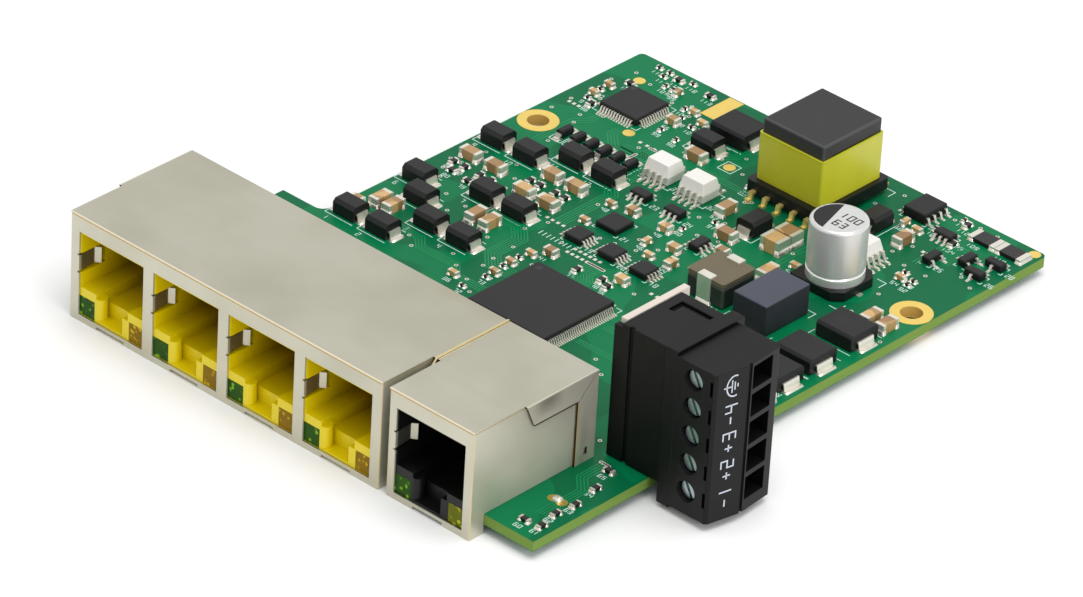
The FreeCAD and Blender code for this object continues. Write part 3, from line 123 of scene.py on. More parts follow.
# ---- node trees

class Value:
    """A node's output that takes part in sums."""

    def __init__(self, nodes, socket):
        self.nodes, self.socket = nodes, socket

    def math(self, operation, *others):
        return self.nodes.add("ShaderNodeMath", {"operation": operation}, dict(enumerate((self,) + others)))

    def __add__(self, other):
        return self.math("ADD", other)

    def __sub__(self, other):
        return self.math("SUBTRACT", other)

    def __rsub__(self, other):
        return self.nodes.add("ShaderNodeMath", {"operation": "SUBTRACT"}, {0: other, 1: self})

    def __mul__(self, other):
        return self.math("MULTIPLY", other)

    def __truediv__(self, other):
        return self.math("DIVIDE", other)

    __radd__ = __add__
    __rmul__ = __mul__


class Nodes:
    """A node tree that is written as calls."""

    def __init__(self, tree):
        self.tree = tree

    def add(self, kind, settings=None, values=None, output=0):
        node = self.tree.nodes.new(kind)
        for name, setting in (settings or {}).items():
            setattr(node, name, setting)
        for socket, value in (values or {}).items():
            self.feed(node.inputs[socket], value)
        return Value(self, node.outputs[output])

    def feed(self, socket, value):
        if isinstance(value, Value):
            self.tree.links.new(value.socket, socket)
        else:
            socket.default_value = value


class Finish(Nodes):
    """A material whose colour, gloss and relief are worked out over the surface."""

    def __init__(self, name, constants=None):
        self.material = bpy.data.materials.new(name)
        self.material.use_nodes = True
        super().__init__(self.material.node_tree)
        self.shader = self.tree.nodes["Principled BSDF"]
        for socket, value in (constants or {}).items():
            self.shader.inputs[socket].default_value = value
        self.place = self.add("ShaderNodeTexCoord", output="Object")
        self.x, self.y, self.z = self.axes(self.place)

    def axes(self, vector):
        split = self.add("ShaderNodeSeparateXYZ", values={0: vector}).socket.node
        return [Value(self, socket) for socket in split.outputs]

    def normal(self):
        """The surface's direction as x, y, z."""
        return self.axes(self.add("ShaderNodeNewGeometry", output="Normal"))

    def faces_aside(self):
        """1 where the surface faces left or right."""
        return self.ramp(self.normal()[0].math("ABSOLUTE"), 0.6, 0.95)

    def near_sides(self, low, high, far, near):
        """1 within near of the left or right side of a box, 0 beyond far."""
        return self.ramp(self.x - low.x, far, near).math("MAXIMUM", self.ramp(high.x - self.x, far, near))

    def stretched(self, x, y, z):
        return self.add("ShaderNodeMapping", values={"Vector": self.place, "Scale": (x, y, z)})

    def speckle(self, scale, detail=2.0, roughness=0.5, place=None):
        return self.add("ShaderNodeTexNoise", values={
            "Vector": place or self.place, "Scale": scale, "Detail": detail, "Roughness": roughness})

    def cells(self, scale):
        return self.add("ShaderNodeTexVoronoi", values={"Vector": self.place, "Scale": scale})

    def ramp(self, value, low, high):
        """0 below low, 1 above high, and smooth between."""
        return self.add("ShaderNodeMapRange", {"interpolation_type": "SMOOTHSTEP"},
                        {"Value": value, "From Min": low, "From Max": high})

    def band(self, value, low, high, soft):
        return self.ramp(value, low - soft, low + soft) * (1 - self.ramp(value, high - soft, high + soft))

    def blend(self, factor, first, second):
        """first where factor is 0, second where it is 1."""
        def colour(c):
            return c if isinstance(c, Value) else (*c, 1.0)
        return self.add("ShaderNodeMix", {"data_type": "RGBA"},
                        {0: factor, 6: colour(first), 7: colour(second)}, output=2)

    def shade(self, colour, amount):
        """A colour made lighter or darker by a number."""
        first = colour if isinstance(colour, Value) else tuple(colour)
        return self.add("ShaderNodeVectorMath", {"operation": "SCALE"}, {0: first, 3: amount})

    def done(self, colour, roughness=None, metallic=None, relief=None, depth=0.01):
        """Joins what varies to the shader: depth is the relief's height in millimetres."""
        for socket, value in (("Base Color", colour), ("Roughness", roughness), ("Metallic", metallic)):
            if value is not None:
                self.feed(self.shader.inputs[socket], value)
        if relief is not None:
            self.feed(self.shader.inputs["Normal"], self.add(
                "ShaderNodeBump", values={"Height": relief, "Distance": depth * MM, "Strength": 1.0}))
        return self.material


class Growth(Nodes):
    """A geometry tree that sets a shape on each point of a mesh, stretched by the point's own sizes."""

    def __init__(self, name, sizes):
        super().__init__(bpy.data.node_groups.new(name, "GeometryNodeTree"))
        self.sockets = {}
        self.tree.interface.new_socket("Geometry", in_out="INPUT", socket_type="NodeSocketGeometry")
        self.tree.interface.new_socket("Geometry", in_out="OUTPUT", socket_type="NodeSocketGeometry")
        for size, default in sizes.items():
            socket = self.tree.interface.new_socket(size, in_out="INPUT", socket_type="NodeSocketFloat")
            socket.default_value = default
            self.sockets[size] = socket.identifier
        self.entry = self.tree.nodes.new("NodeGroupInput")

    def size(self, name):
        return Value(self, self.entry.outputs[name])

    def vector(self, x, y, z):
        return self.add("ShaderNodeCombineXYZ", values={0: x, 1: y, 2: z})

    def finish(self, shape, material):
        """Sets the shape on the points, makes it real and gives it its material."""
        stretch = self.add("GeometryNodeInputNamedAttribute", {"data_type": "FLOAT_VECTOR"},
                           {"Name": "stretch"})
        put = self.add("GeometryNodeInstanceOnPoints", values={
            "Points": self.size("Geometry"), "Instance": shape, "Scale": stretch})
        real = self.add("GeometryNodeRealizeInstances", values={0: put})
        painted = self.add("GeometryNodeSetMaterial", values={"Geometry": real, "Material": material})
        leave = self.tree.nodes.new("NodeGroupOutput")
        self.feed(leave.inputs[0], painted)
        return self


def block_growth(name, material):
    """Sets a unit block on each point, so that stretch is the block's size."""
    growth = Growth(name, {"Side": 1.0})
    side = growth.size("Side")
    block = growth.add("GeometryNodeMeshCube", values={"Size": growth.vector(side, side, 1.0)})
    return growth.finish(block, material)


def disc_growth(name, material, radius):
    """Sets an upright disc on each point."""
    growth = Growth(name, {"Radius": radius, "Thickness": 0.02 * MM})
    disc = growth.add("GeometryNodeMeshCylinder", values={
        "Vertices": 16, "Radius": growth.size("Radius"), "Depth": growth.size("Thickness")})
    return growth.finish(disc, material)


# ---- pieces

def link(name, data):
    """A new object that shows data, in the scene."""
    made = bpy.data.objects.new(name, data)
    bpy.context.scene.collection.objects.link(made)
    return made


def put_in_scene(name, mesh, body=BODY):
    """A new piece that rides a body."""
    piece = link(name, mesh)
    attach(piece, body)
    return piece


def grow(name, growth, spots, slot, **sizes):
    """Runs a growth on spots, a list of (place, stretch), and keeps the plain mesh."""
    seed_mesh = bpy.data.meshes.new(name + "_spots")
    seed_mesh.from_pydata([place for place, _ in spots], [], [])
    layer = seed_mesh.attributes.new("stretch", "FLOAT_VECTOR", "POINT")
    layer.data.foreach_set("vector", [length for _, stretch in spots for length in stretch])
    seed = link(name + "_spots", seed_mesh)
    modifier = seed.modifiers.new("growth", "NODES")
    modifier.node_group = growth.tree
    for size, value in sizes.items():
        modifier[growth.sockets[size]] = value
    evaluated = seed.evaluated_get(bpy.context.evaluated_depsgraph_get())
    mesh = bpy.data.meshes.new_from_object(evaluated)
    bpy.data.objects.remove(seed)
    return put_in_scene(name, mesh)


UP = Vector((0, 0, 1))


def around(centre, radius, degrees):
    """A point on a level circle."""
    angle = math.radians(degrees)
    return centre + Vector((radius * math.cos(angle), radius * math.sin(angle), 0))


def headings(path):
    """For each point of a path: the direction before it, the one after it, and the one between them."""
    runs = [(end - start).normalized() for start, end in zip(path, path[1:])]
    for before, after in zip([None] + runs, runs + [None]):
        yield before, after, ((before or after) + (after or before)).normalized()


class Outline:
    """Gathers closed flat shapes and makes one mesh of them."""

    def __init__(self):
        self.points, self.faces = [], []

    def prism(self, loop, along):
        """A closed solid from a loop of points, thickened along a vector."""
        self.rings([loop, [Vector(p) + along for p in loop]])

    def rings(self, loops):
        """A closed solid through a stack of loops with as many points each, lowest first."""
        start, count = len(self.points), len(loops[0])
        for loop in loops:
            self.points += [tuple(p) for p in loop]
        top = start + count * (len(loops) - 1)
        self.faces.append([start + i for i in reversed(range(count))])
        self.faces.append([top + i for i in range(count)])
        for level in range(len(loops) - 1):
            a, b = start + level * count, start + (level + 1) * count
            for i in range(count):
                j = (i + 1) % count
                self.faces.append([a + i, a + j, b + j, b + i])

    def stroke(self, path, width, thick, up):
        """A flat ribbon along a path of points, lying across the direction up."""
        path, up = [Vector(p) for p in path], Vector(up).normalized()
        rise, loops = up * thick, []
        for point, (before, after, heading) in zip(path, headings(path)):
            aside = up.cross(heading) * (width / 2)
            if before and after:
                aside /= max(0.4, up.cross(before).dot(up.cross(heading)))
            right, left = point - aside, point + aside
            loops.append([right, left, left + rise, right + rise])
        self.rings(loops)

    def make(self, name, material, slot, smooth=False):
        mesh = bpy.data.meshes.new(name)
        mesh.from_pydata(self.points, [], self.faces)
        mesh.materials.append(material)
        if smooth:
            mesh.shade_smooth()
        mesh.validate()
        return put_in_scene(name, mesh)


CORNERS = {"a": (0, 2), "b": (1, 2), "c": (0, 1), "d": (1, 1), "e": (0, 0), "f": (1, 0), "g": (0.5, 1.6),
           "h": (0.5, 0.4), "i": (0.5, 2), "j": (0.5, 0)}
GLYPHS = {"0": "abfea", "1": "ij", "2": "abdcef", "3": "abfe cd", "4": "acd bf", "5": "bacdfe",
          "6": "baefdc", "7": "abf", "8": "abfea cd", "9": "dcabfe", "+": "cd gh", "-": "cd"}


def write(shapes, text, origin, right, up, line, thick):
    """Draws plain stroked signs: right and up are vectors as long as a sign is wide and tall."""
    right, up, at = Vector(right), Vector(up), Vector(origin)
    for sign in text:
        for run in GLYPHS[sign].split():
            path = [at + right * CORNERS[c][0] + up * (CORNERS[c][1] / 2) for c in run]
            shapes.stroke(path, line, thick, right.cross(up))
        at += right * 1.7


def dress(material, *nodes):
    for node in nodes:
        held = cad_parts[node].data.materials
        held.clear()
        held.append(material)


def soften(width, *nodes):
    """Rounds the sharp edges of CAD pieces by a width in millimetres."""
    for node in nodes:
        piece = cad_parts[node]
        weld = piece.modifiers.new("weld", "WELD")
        weld.merge_threshold = 0.0005 * MM
        edge = piece.modifiers.new("edge", "BEVEL")
        edge.width = width * MM
        edge.segments = 2
        edge.limit_method = "ANGLE"
        edge.angle_limit = math.radians(35)
        edge.harden_normals = False


# ---- finishes

SCREW_HOLES = [(low.x + high.x) / 2 for low, high in solids("gold_lands") if high.x - low.x > 5 * MM]


def moulded(name, colour, roughness=0.45, grain=0.006, flecks=0.08, coat=0.0, gloss=0.5, under=1.0,
            inside=None):
    """Moulded plastic: a spark-eroded grain and cloudy flow marks.

    under is the painted shade on its sides, how light they are beside its top, and inside is (from, to,
    tone), painted shade that darkens it towards the back."""
    f = Finish(name, {"Coat Weight": coat, "Coat Roughness": 0.25, "Specular IOR Level": gloss})
    cloud = f.speckle(140, 3)
    fine = f.speckle(5200, 2)
    tone = f.shade(colour, 1 + (cloud - 0.5) * (2 * flecks) + (fine - 0.5) * flecks)
    # painted shade: the sides darker than the top by under
    tone = f.shade(tone, under + f.ramp(f.normal()[2], 0.3, 0.95) * (1 - under))
    if inside:
        start, end, deep = inside
        # painted shade, deeper towards the back of the openings
        tone = f.blend(f.ramp(f.y, start, end) * 0.85, tone, deep)
    return f.done(tone, roughness=roughness + (cloud - 0.5) * 0.16, relief=fine, depth=grain)


def plated(name, colour, roughness=0.25, dirt=0.12, purity=1.0, lines=False):
    """Plated or tinned metal with dull patches, and rolling lines where it was drawn."""
    f = Finish(name, {"Metallic": purity})
    patch = f.speckle(600, 3, 0.6)
    fine = f.speckle(4000, 2, place=f.stretched(1, 0.05, 1) if lines else None)
    tone = f.shade(colour, 1 + (patch - 0.5) * (2 * dirt))
    return f.done(tone, roughness=roughness + (patch - 0.5) * 0.25, relief=fine, depth=0.004)


def solder_mask(tones):
    """Green resist over copper: pours and gaps, a smooth top, and a sawn laminate edge."""
    f = Finish("solder_mask", {"Coat Weight": 0.04, "Coat Roughness": 0.3, "Specular IOR Level": 0.12})
    pour = f.ramp(f.speckle(75, 1, 0.3), 0.49, 0.51)
    fine = f.speckle(2600, 2)
    cloud = f.speckle(30, 2)
    green = f.blend(pour, tones.mask_over_laminate, tones.mask_over_copper)
    green = f.shade(green, 0.9 + cloud * 0.2 + (fine - 0.5) * 0.1)
    layers = f.speckle(900, 2, place=f.stretched(0.15, 0.15, 7))
    fibre = f.blend(layers, tones.laminate, tones.laminate_dark)
    skin = f.band(f.z, BOARD_LOW.z + 0.06 * MM, BOARD_TOP - 0.06 * MM, 0.03 * MM)
    side = f.ramp(f.normal()[2].math("ABSOLUTE"), 0.8, 0.4)
    colour = f.blend(side * skin, green, fibre)
    for hole_x in SCREW_HOLES:
        reach = ((f.x - hole_x) * (f.x - hole_x) + f.y * f.y).math("SQRT")
        colour = f.blend(side * f.ramp(reach, 1.9 * MM, 1.8 * MM), colour, tones.barrel)
    return f.done(colour, roughness=0.38 + side * 0.35 + (cloud - 0.5) * 0.1,
                  relief=fine * 0.3 + pour, depth=0.012)


def near_edges(f, low, high, width):
    """1 where two outer faces of a box meet, within a width of both."""
    aside = f.near_sides(low, high, width, width / 2)
    front = f.ramp(f.y - low.y, width, width / 2)
    top = f.ramp(high.z - f.z, width, width / 2)
    return f.ramp(aside + front + top, 1.1, 1.8)


# marks on the jacks' sheet, each 1 where it shows, from the sheet's lowest and highest corners

FLAP_FALL = 3.5 * MM
FLANGE_REACH = 3.7 * MM
CRISP = 0.03 * MM


def folds(f, low, high):
    """The lines along the sheet's bends and outer edges: a painted highlight on the covers, brass on the
    front shields.
    """
    return near_edges(f, low, high, 0.22 * MM)


def cut_edge(f, low, high):
    """Edges that face the front, where the sheet was cut."""
    return f.ramp(f.normal()[1], -0.7, -0.95)


def flap_slit(f, low, high):
    """A painted shadow: the dark line under the side flap and up its slanted front end."""
    under = f.band(high.z - f.z, FLAP_FALL - 0.22 * MM, FLAP_FALL + 0.1 * MM, CRISP)
    run = f.ramp(high.y - f.y, FLANGE_REACH - 0.1 * MM, FLANGE_REACH + 0.1 * MM) * f.faces_aside()
    end = (cut_edge(f, low, high) * f.near_sides(low, high, 0.5 * MM, 0.4 * MM)
           * f.ramp(f.y - low.y, 5 * MM, 6 * MM))
    return (under * run).math("MAXIMUM", end)


def flange_edge(f, low, high):
    """The cut front of the flange that is folded from the back."""
    front = f.band(high.y - f.y, FLANGE_REACH - 0.2 * MM, FLANGE_REACH + 0.1 * MM, CRISP)
    return front * f.faces_aside() * f.ramp(high.z - f.z, FLAP_FALL - 0.2 * MM, FLAP_FALL + 0.1 * MM)


def smoke(f, low, high):
    """A soft painted dark reflection on the side flap, and a fainter one up the flange."""
    depth, down = high.y - f.y, high.z - f.z
    flap = f.band(depth, 7.6 * MM, 11.4 * MM, 1.6 * MM) * f.ramp(down, 3.4 * MM, 0.6 * MM)
    flange = f.band(depth, 1.6 * MM, 3.2 * MM, 0.9 * MM) * f.ramp(down, 3.0 * MM, 9.0 * MM)
    return f.faces_aside() * flap.math("MAXIMUM", flange * 0.5)


def tab_legs(f, low, high):
    """The legs of the spring tabs inside the openings, painted dark as the shade they lie in."""
    inside = f.band(f.x, low.x + 0.6 * MM, high.x - 0.6 * MM, 0.05 * MM)
    leg = f.band(f.y - low.y, 0.45 * MM, 3.0 * MM, 0.1 * MM)
    return inside * leg * f.band(f.z - BOARD_TOP, 4.4 * MM, 7.4 * MM, 0.1 * MM)


def tinned_sheet(name, colour, dull, box, marks):
    """Tinned steel sheet: cloudy fingerprints, faint rolling lines, and marks as (mask, share, colour)."""
    f = Finish(name)
    smudge_and_reflection = f.speckle(55, 3, 0.55)
    blot = f.ramp(f.speckle(38, 2, 0.4), 0.52, 0.78)
    rolled = f.speckle(900, 2, place=f.stretched(0.04, 1, 1))
    tone = f.blend(f.ramp(smudge_and_reflection, 0.3, 0.75), colour, dull)
    tone = f.shade(tone, 1 - blot * 0.07 + (rolled - 0.5) * 0.05)
    stain = f.ramp(f.speckle(52, 2, 0.45, place=f.stretched(1, 1.3, 0.4)), 0.6, 0.74)
    tone = f.blend(stain * 0.35, tone, ink(186, 160, 126))
    for mask, share, mark in marks:
        tone = f.blend(mask(f, *box) * share, tone, mark)
    # painted light: the sides are made less metallic so that they read lighter
    return f.done(tone, roughness=0.3 + blot * 0.14 + (rolled - 0.5) * 0.1,
                  metallic=0.88 - blot * 0.15 - f.faces_aside() * 0.3, relief=rolled, depth=0.004)


def lamp_lens(name, colour, bright):
    """A clear tinted lamp body with painted glints, in the colour bright, as bright specks."""
    f = Finish(name, {"Specular IOR Level": 0.12})
    speck = f.ramp(f.cells(1100), 0.4, 0.22)
    glint = f.ramp(f.speckle(900, 1), 0.4, 0.55) * speck * 0.8
    tone = f.blend(glint, f.shade(colour, 0.75 + f.speckle(500, 1) * 0.5), bright)
    return f.done(tone, roughness=0.18)


def ferrite(name, colour, box):
    """Pressed and ground ferrite: dark grain, chalky scuffs, and edges painted lighter as a highlight."""
    f = Finish(name)
    grain = f.speckle(3200, 4, 0.7)
    scuff = f.ramp(f.speckle(420, 4, 0.65, place=f.stretched(1, 0.25, 1)), 0.56, 0.8)
    chalk = f.ramp(f.speckle(1500, 3, 0.7), 0.66, 0.76)
    # near_edges paints a highlight along the edges
    tone = f.shade(colour, 0.8 + grain * 0.4 + scuff * 0.6 + chalk * 1.5
                   + near_edges(f, *box, 0.4 * MM) * 1.6)
    return f.done(tone, roughness=0.45 + grain * 0.2, relief=grain, depth=0.015)


def winding_tape(colour, low, high):
    """Yellow polyester tape: two turns whose edges show as faint level lines, glossy and uneven, with
    painted shade on the faces towards the front.
    """
    f = Finish("yellow_tape", {"Coat Weight": 0.35, "Coat Roughness": 0.2})
    ripple = f.speckle(260, 2, 0.5, place=f.stretched(1, 1, 0.3))
    fine = f.speckle(3000, 2)
    level = (f.z - low.z) / (high.z - low.z)
    lap = f.band(level, 0.06, 0.94, 0.012)
    wire = f.add("ShaderNodeTexWave", {"bands_direction": "Z"},
                 {"Vector": f.place, "Scale": 340, "Distortion": 0.6, "Detail": 1.0})
    # painted shade on the faces towards the front
    front_shade = f.ramp(f.normal()[1], -0.3, -0.9)
    tone = f.shade(colour, 0.92 + ripple * 0.16 + lap * 0.05 + wire * 0.025 + (fine - 0.5) * 0.05
                   - front_shade * 0.1)
    return f.done(tone, roughness=0.32 + ripple * 0.15, relief=ripple * 2 + fine * 0.2, depth=0.025)


def can_aluminium(colour, axis, bead_z):
    """Coated aluminium can: fine turning rings on top, a drawn side, and a bright crimp."""
    f = Finish("can_aluminium")
    across = f.add("ShaderNodeVectorMath", {"operation": "LENGTH"}, {
        0: f.add("ShaderNodeVectorMath", {"operation": "SUBTRACT"},
                 {0: f.place, 1: (axis.x, axis.y, 0)})}, output=1)
    drawn = f.speckle(700, 3, place=f.stretched(3, 3, 0.08))
    bead = f.band(f.z, bead_z - 0.35 * MM, bead_z + 0.1 * MM, 0.12 * MM)
    tone = f.shade(colour, 0.93 + drawn * 0.14 + bead * 0.3)
    rings = f.speckle(1500, 1, place=f.add("ShaderNodeCombineXYZ", values={0: across}))
    return f.done(tone, roughness=0.34 + (drawn - 0.5) * 0.1 - bead * 0.15, metallic=0.55,
                  relief=drawn + rings * 0.5, depth=0.004)


def fired_ceramic(name, colour, deep):
    """Barrel-tumbled ceramic: each chip has its own tone, with fine pits."""
    f = Finish(name, {"Coat Weight": 0.15, "Coat Roughness": 0.3})
    batch = f.add("ShaderNodeTexVoronoi", {"feature": "F1"},
                  {"Vector": f.stretched(1, 1, 0), "Scale": 260}, output="Color")
    fine = f.speckle(3800, 3)
    tone = f.shade(f.blend(f.axes(batch)[0], colour, deep), 0.9 + fine * 0.2)
    return f.done(tone, roughness=0.36, relief=fine, depth=0.006)


def epoxy_body(name, colour):
    """Black moulding compound: matt, finely speckled, with its sides painted much darker than its top as
    shade.
    """
    f = Finish(name, {"Specular IOR Level": 0.3})
    fine = f.speckle(6500, 3, 0.7)
    cloud = f.speckle(300, 2)
    # painted shade: the sides darker than the top
    top = f.ramp(f.normal()[2], 0.5, 0.95)
    tone = f.shade(colour, 0.3 + top * 0.7)
    tone = f.shade(tone, 1 + (fine - 0.5) * 0.4 + (cloud - 0.5) * 0.45)
    return f.done(tone, roughness=0.5 + (cloud - 0.5) * 0.2, relief=fine, depth=0.008)


def printed(name, colour, wear=0.35):
    """Printing ink: slightly uneven, thin where the screen's mesh showed through."""
    f = Finish(name, {"Specular IOR Level": 0.3})
    mesh = f.speckle(4200, 2)
    return f.done(f.shade(colour, 1 - wear * 0.5 + (mesh - 0.3) * wear), roughness=0.55 + mesh * 0.1,
                  relief=mesh, depth=0.004)


# ---- settings that a user would change

def colour_setting(name, description, default):
    return FloatVectorProperty(name=name, description=description, subtype="COLOR", size=3,
                               min=0, max=1, default=default)


def length_setting(name, description, millimetres):
    return FloatProperty(name=name, description=description, unit="LENGTH", subtype="DISTANCE",
                         precision=5, default=millimetres * MM, min=0.001 * MM, max=100 * MM)


class BoardTones(bpy.types.PropertyGroup):
    """Colours of the board's surfaces."""

    mask_over_copper: colour_setting("Resist on copper", "Green over copper pours", ink(0, 112, 68))
    mask_over_laminate: colour_setting("Resist on laminate", "Green between pours", ink(0, 98, 60))
    track_green: colour_setting("Resist on tracks", "Green over the raised tracks", ink(14, 126, 76))
    barrel: colour_setting("Hole plating", "Gold inside the screw holes", ink(196, 160, 84))
    laminate: colour_setting("Laminate edge", "Sawn edge of the board", ink(124, 150, 72))
    laminate_dark: colour_setting("Laminate fibres", "Darker fibres in the sawn edge", ink(92, 124, 50))
    print_white: colour_setting("Printed marks", "Ink of the marks on the board", ink(208, 234, 226))


class PartTones(bpy.types.PropertyGroup):
    """Colours of the parts on the board."""

    tin: colour_setting("Tinned sheet", "Jack shields", ink(204, 201, 184))
    tin_dull: colour_setting("Dull tin", "Cloudy patches on the shields", ink(190, 187, 168))
    cut_brass: colour_setting("Cut edge", "Brass that shows where the sheet was cut", ink(206, 178, 116))
    gold: colour_setting("Gold plating", "Screw lands and contacts", ink(248, 216, 116))
    yellow: colour_setting("Yellow housing", "Insert of the port bank", ink(222, 200, 0))
    # painted shade: the insert's colour deep inside its openings
    deep_yellow: colour_setting("Deep yellow", "The insert's tone far inside", ink(122, 92, 2))
    black: colour_setting("Black plastic", "Terminal block and single jack", ink(15, 15, 16))
    epoxy: colour_setting("Chip epoxy", "Chips and diodes", ink(33, 33, 34))
    solder: colour_setting("Solder", "Joints and leads", ink(232, 228, 216))
    tape: colour_setting("Tape", "Transformer tape", ink(188, 186, 32))
    ceramic: colour_setting("Ceramic", "Pale capacitor ceramic", ink(206, 168, 112))
    ceramic_deep: colour_setting("Deep ceramic", "Brown capacitor ceramic", ink(138, 104, 66))


class BoardSizes(bpy.types.PropertyGroup):
    """Sizes of what is laid on the board."""

    track_width: length_setting("Track width", "Width of a signal track", 0.22)
    track_rise: length_setting("Track rise", "How far the resist stands up over a track", 0.03)
    via_radius: length_setting("Via radius", "Outer radius of a plated hole's ring", 0.3)
    print_width: length_setting("Print line", "Width of a printed line", 0.13)
    print_rise: length_setting("Print thickness", "Thickness of the printing ink", 0.015)
    fillet: length_setting("Solder fillet", "How far solder spreads past a metal end", 0.2)
    seed: IntProperty(name="Seed", description="Picks where the scattered plated holes are", default=7,
                      min=0)


class LightSettings(bpy.types.PropertyGroup):
    """Lights and camera."""

    key: FloatProperty(name="Key light", description="Power of the large soft light", subtype="POWER",
                       unit="POWER", default=2.2, min=0, max=50)
    room: FloatProperty(name="Room light", description="Strength of the even light all round", default=0.8,
                        min=0, max=5)
    floor: colour_setting("Floor", "Pale floor", (0.86, 0.86, 0.86))


def settings():
    scene = bpy.context.scene
    return scene.board_tones, scene.part_tones, scene.board_sizes, scene.light_settings


# ---- operators

class DressBoard(bpy.types.Operator):
    """Green resist on the board and gold on its bare lands"""
    bl_idname = "switchboard.dress_board"
    bl_label = "Board and lands"

    def execute(self, context):
        tones, parts, _, _ = settings()
        dress(solder_mask(tones), "circuit_board")
        dress(plated("gold_plating", parts.gold, 0.42, 0.06, 0.7), "gold_lands")
        return {"FINISHED"}


class DressJacks(bpy.types.Operator):
    """Tinned shields, yellow and black inserts, contacts and lamps"""
    bl_idname = "switchboard.dress_jacks"
    bl_label = "Jacks"

    def execute(self, context):
        _, parts, _, _ = settings()
        # pale is a painted highlight along the covers' bends
        cut, pale, flap_shadow, smudge_and_reflection = parts.cut_brass, ink(238, 230, 210), ink(52, 40, 28), ink(92, 88, 80)

        def sheet(name, node, marks):
            dress(tinned_sheet(name + "_steel", parts.tin, parts.tin_dull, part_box(node), marks), node)

        # the tab legs get painted shade, yellow-brown in the bank and near black in the uplink
        for jack, leg_shade in (("port_bank", ink(112, 92, 16)), ("uplink", ink(30, 29, 28))):
            sheet(jack + "_front", jack + "_front_shield", [(folds, 0.5, cut), (tab_legs, 0.85, leg_shade)])
            sheet(jack + "_cover", jack + "_cover", [
                # the dark band on the flap and flange is a painted reflection
                (smoke, 0.6, smudge_and_reflection), (cut_edge, 1.0, cut), (folds, 0.8, pale),
                # painted shadow line under the flap
                (flange_edge, 1.0, cut), (flap_slit, 1.0, flap_shadow)])
        low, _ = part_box("port_bank_housing")
        # inside paints shade that deepens into the openings
        yellow = moulded("yellow_plastic", parts.yellow, 0.34, 0.004, 0.05, coat=0.1,
                         inside=(low.y + 2.5 * MM, low.y + 11 * MM, parts.deep_yellow))
        dress(yellow, "port_bank_housing")
        dress(moulded("jack_black", parts.black, 0.4, 0.004, gloss=0.3),
              "uplink_housing", "port_bank_core", "uplink_core")
        dress(plated("contact_gold", parts.gold, 0.22), "port_bank_contacts", "uplink_contacts")
        # the second colour of each lens is its painted glint
        dress(lamp_lens("green_lens", ink(34, 74, 0), ink(130, 190, 30)),
              "port_bank_green_lamps", "uplink_green_lamp")
        dress(lamp_lens("amber_lens", ink(128, 98, 0), ink(206, 176, 20)), "port_bank_amber_lamps")
        dress(lamp_lens("yellow_lens", ink(96, 100, 0), ink(196, 200, 20)), "uplink_yellow_lamp")
        dress(plated("spring_brass", ink(236, 220, 172), 0.3), "grounding_spring")
        dress(plated("tinned_tails", parts.solder, 0.35), "jack_tails")
        return {"FINISHED"}


class DressTerminalBlock(bpy.types.Operator):
    """Black header and plug, zinc screws, riser board and pins"""
    bl_idname = "switchboard.dress_terminal_block"
    bl_label = "Terminal block"

    def execute(self, context):
        _, parts, _, _ = settings()
        # under=0.45: sides painted darker than the tops as shade
        black = moulded("terminal_black", parts.black, 0.42, 0.006, 0.1, gloss=0.22, under=0.45)
        dress(black, "terminal_header", "plug_body")
        soften(0.12, "terminal_header", "plug_body")
        dress(moulded("riser_laminate", ink(206, 196, 184), 0.5, 0.01, 0.12), "riser_board")
        dress(plated("tinned_pins", parts.solder, 0.3), "header_pins", "contact_bars")
        zinc = plated("zinc_steel", ink(176, 190, 192), 0.3, 0.2)
        cage = plated("cage_steel", ink(188, 186, 180), 0.35)
        for way in WAYS:
            dress(zinc, "clamp_screw_%d" % way)
            dress(cage, "clamp_cage_%d" % way)
        return {"FINISHED"}


class DressWoundParts(bpy.types.Operator):
    """Transformer, inductors and the electrolytic can"""
    bl_idname = "switchboard.dress_wound_parts"
    bl_label = "Transformer, inductors, can"

    def execute(self, context):
        _, parts, _, _ = settings()
        dress(ferrite("core_ferrite", ink(37, 37, 38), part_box("transformer_core")), "transformer_core")
        dress(ferrite("pot_ferrite", ink(36, 40, 37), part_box("clipped_inductor_core")),
              "clipped_inductor_core")
        soften(0.2, "transformer_core")
        dress(moulded("bobbin_black", ink(18, 18, 20), 0.35, gloss=0.3),
              "transformer_bobbin", "capacitor_base")
        dress(plated("winding_copper", ink(190, 110, 70), 0.3, lines=True), "transformer_winding")
        dress(winding_tape(parts.tape, *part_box("transformer_tape")), "transformer_tape")
        dress(plated("pin_solder", ink(240, 214, 130), 0.3, 0.12, 0.7), "transformer_pins")
        low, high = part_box("capacitor_can")
        dress(can_aluminium(ink(216, 216, 214), (low + high) / 2, low.z + 1.3 * MM), "capacitor_can")
        dress(plated("lead_tin", parts.solder, 0.35, 0.12, 0.7),
              "capacitor_leads", "clipped_inductor_clips", "moulded_inductor_terminals")
        dress(moulded("beige_plate", ink(104, 95, 76), 0.5, 0.012, 0.1, gloss=0.25),
              "clipped_inductor_cap")
        # under=0.3: sides painted darker than the top as shade
        dress(moulded("blue_grey_powder", ink(72, 75, 86), 0.55, 0.02, 0.12, gloss=0.3, under=0.3),
              "moulded_inductor")
        soften(0.12, "moulded_inductor")
        return {"FINISHED"}


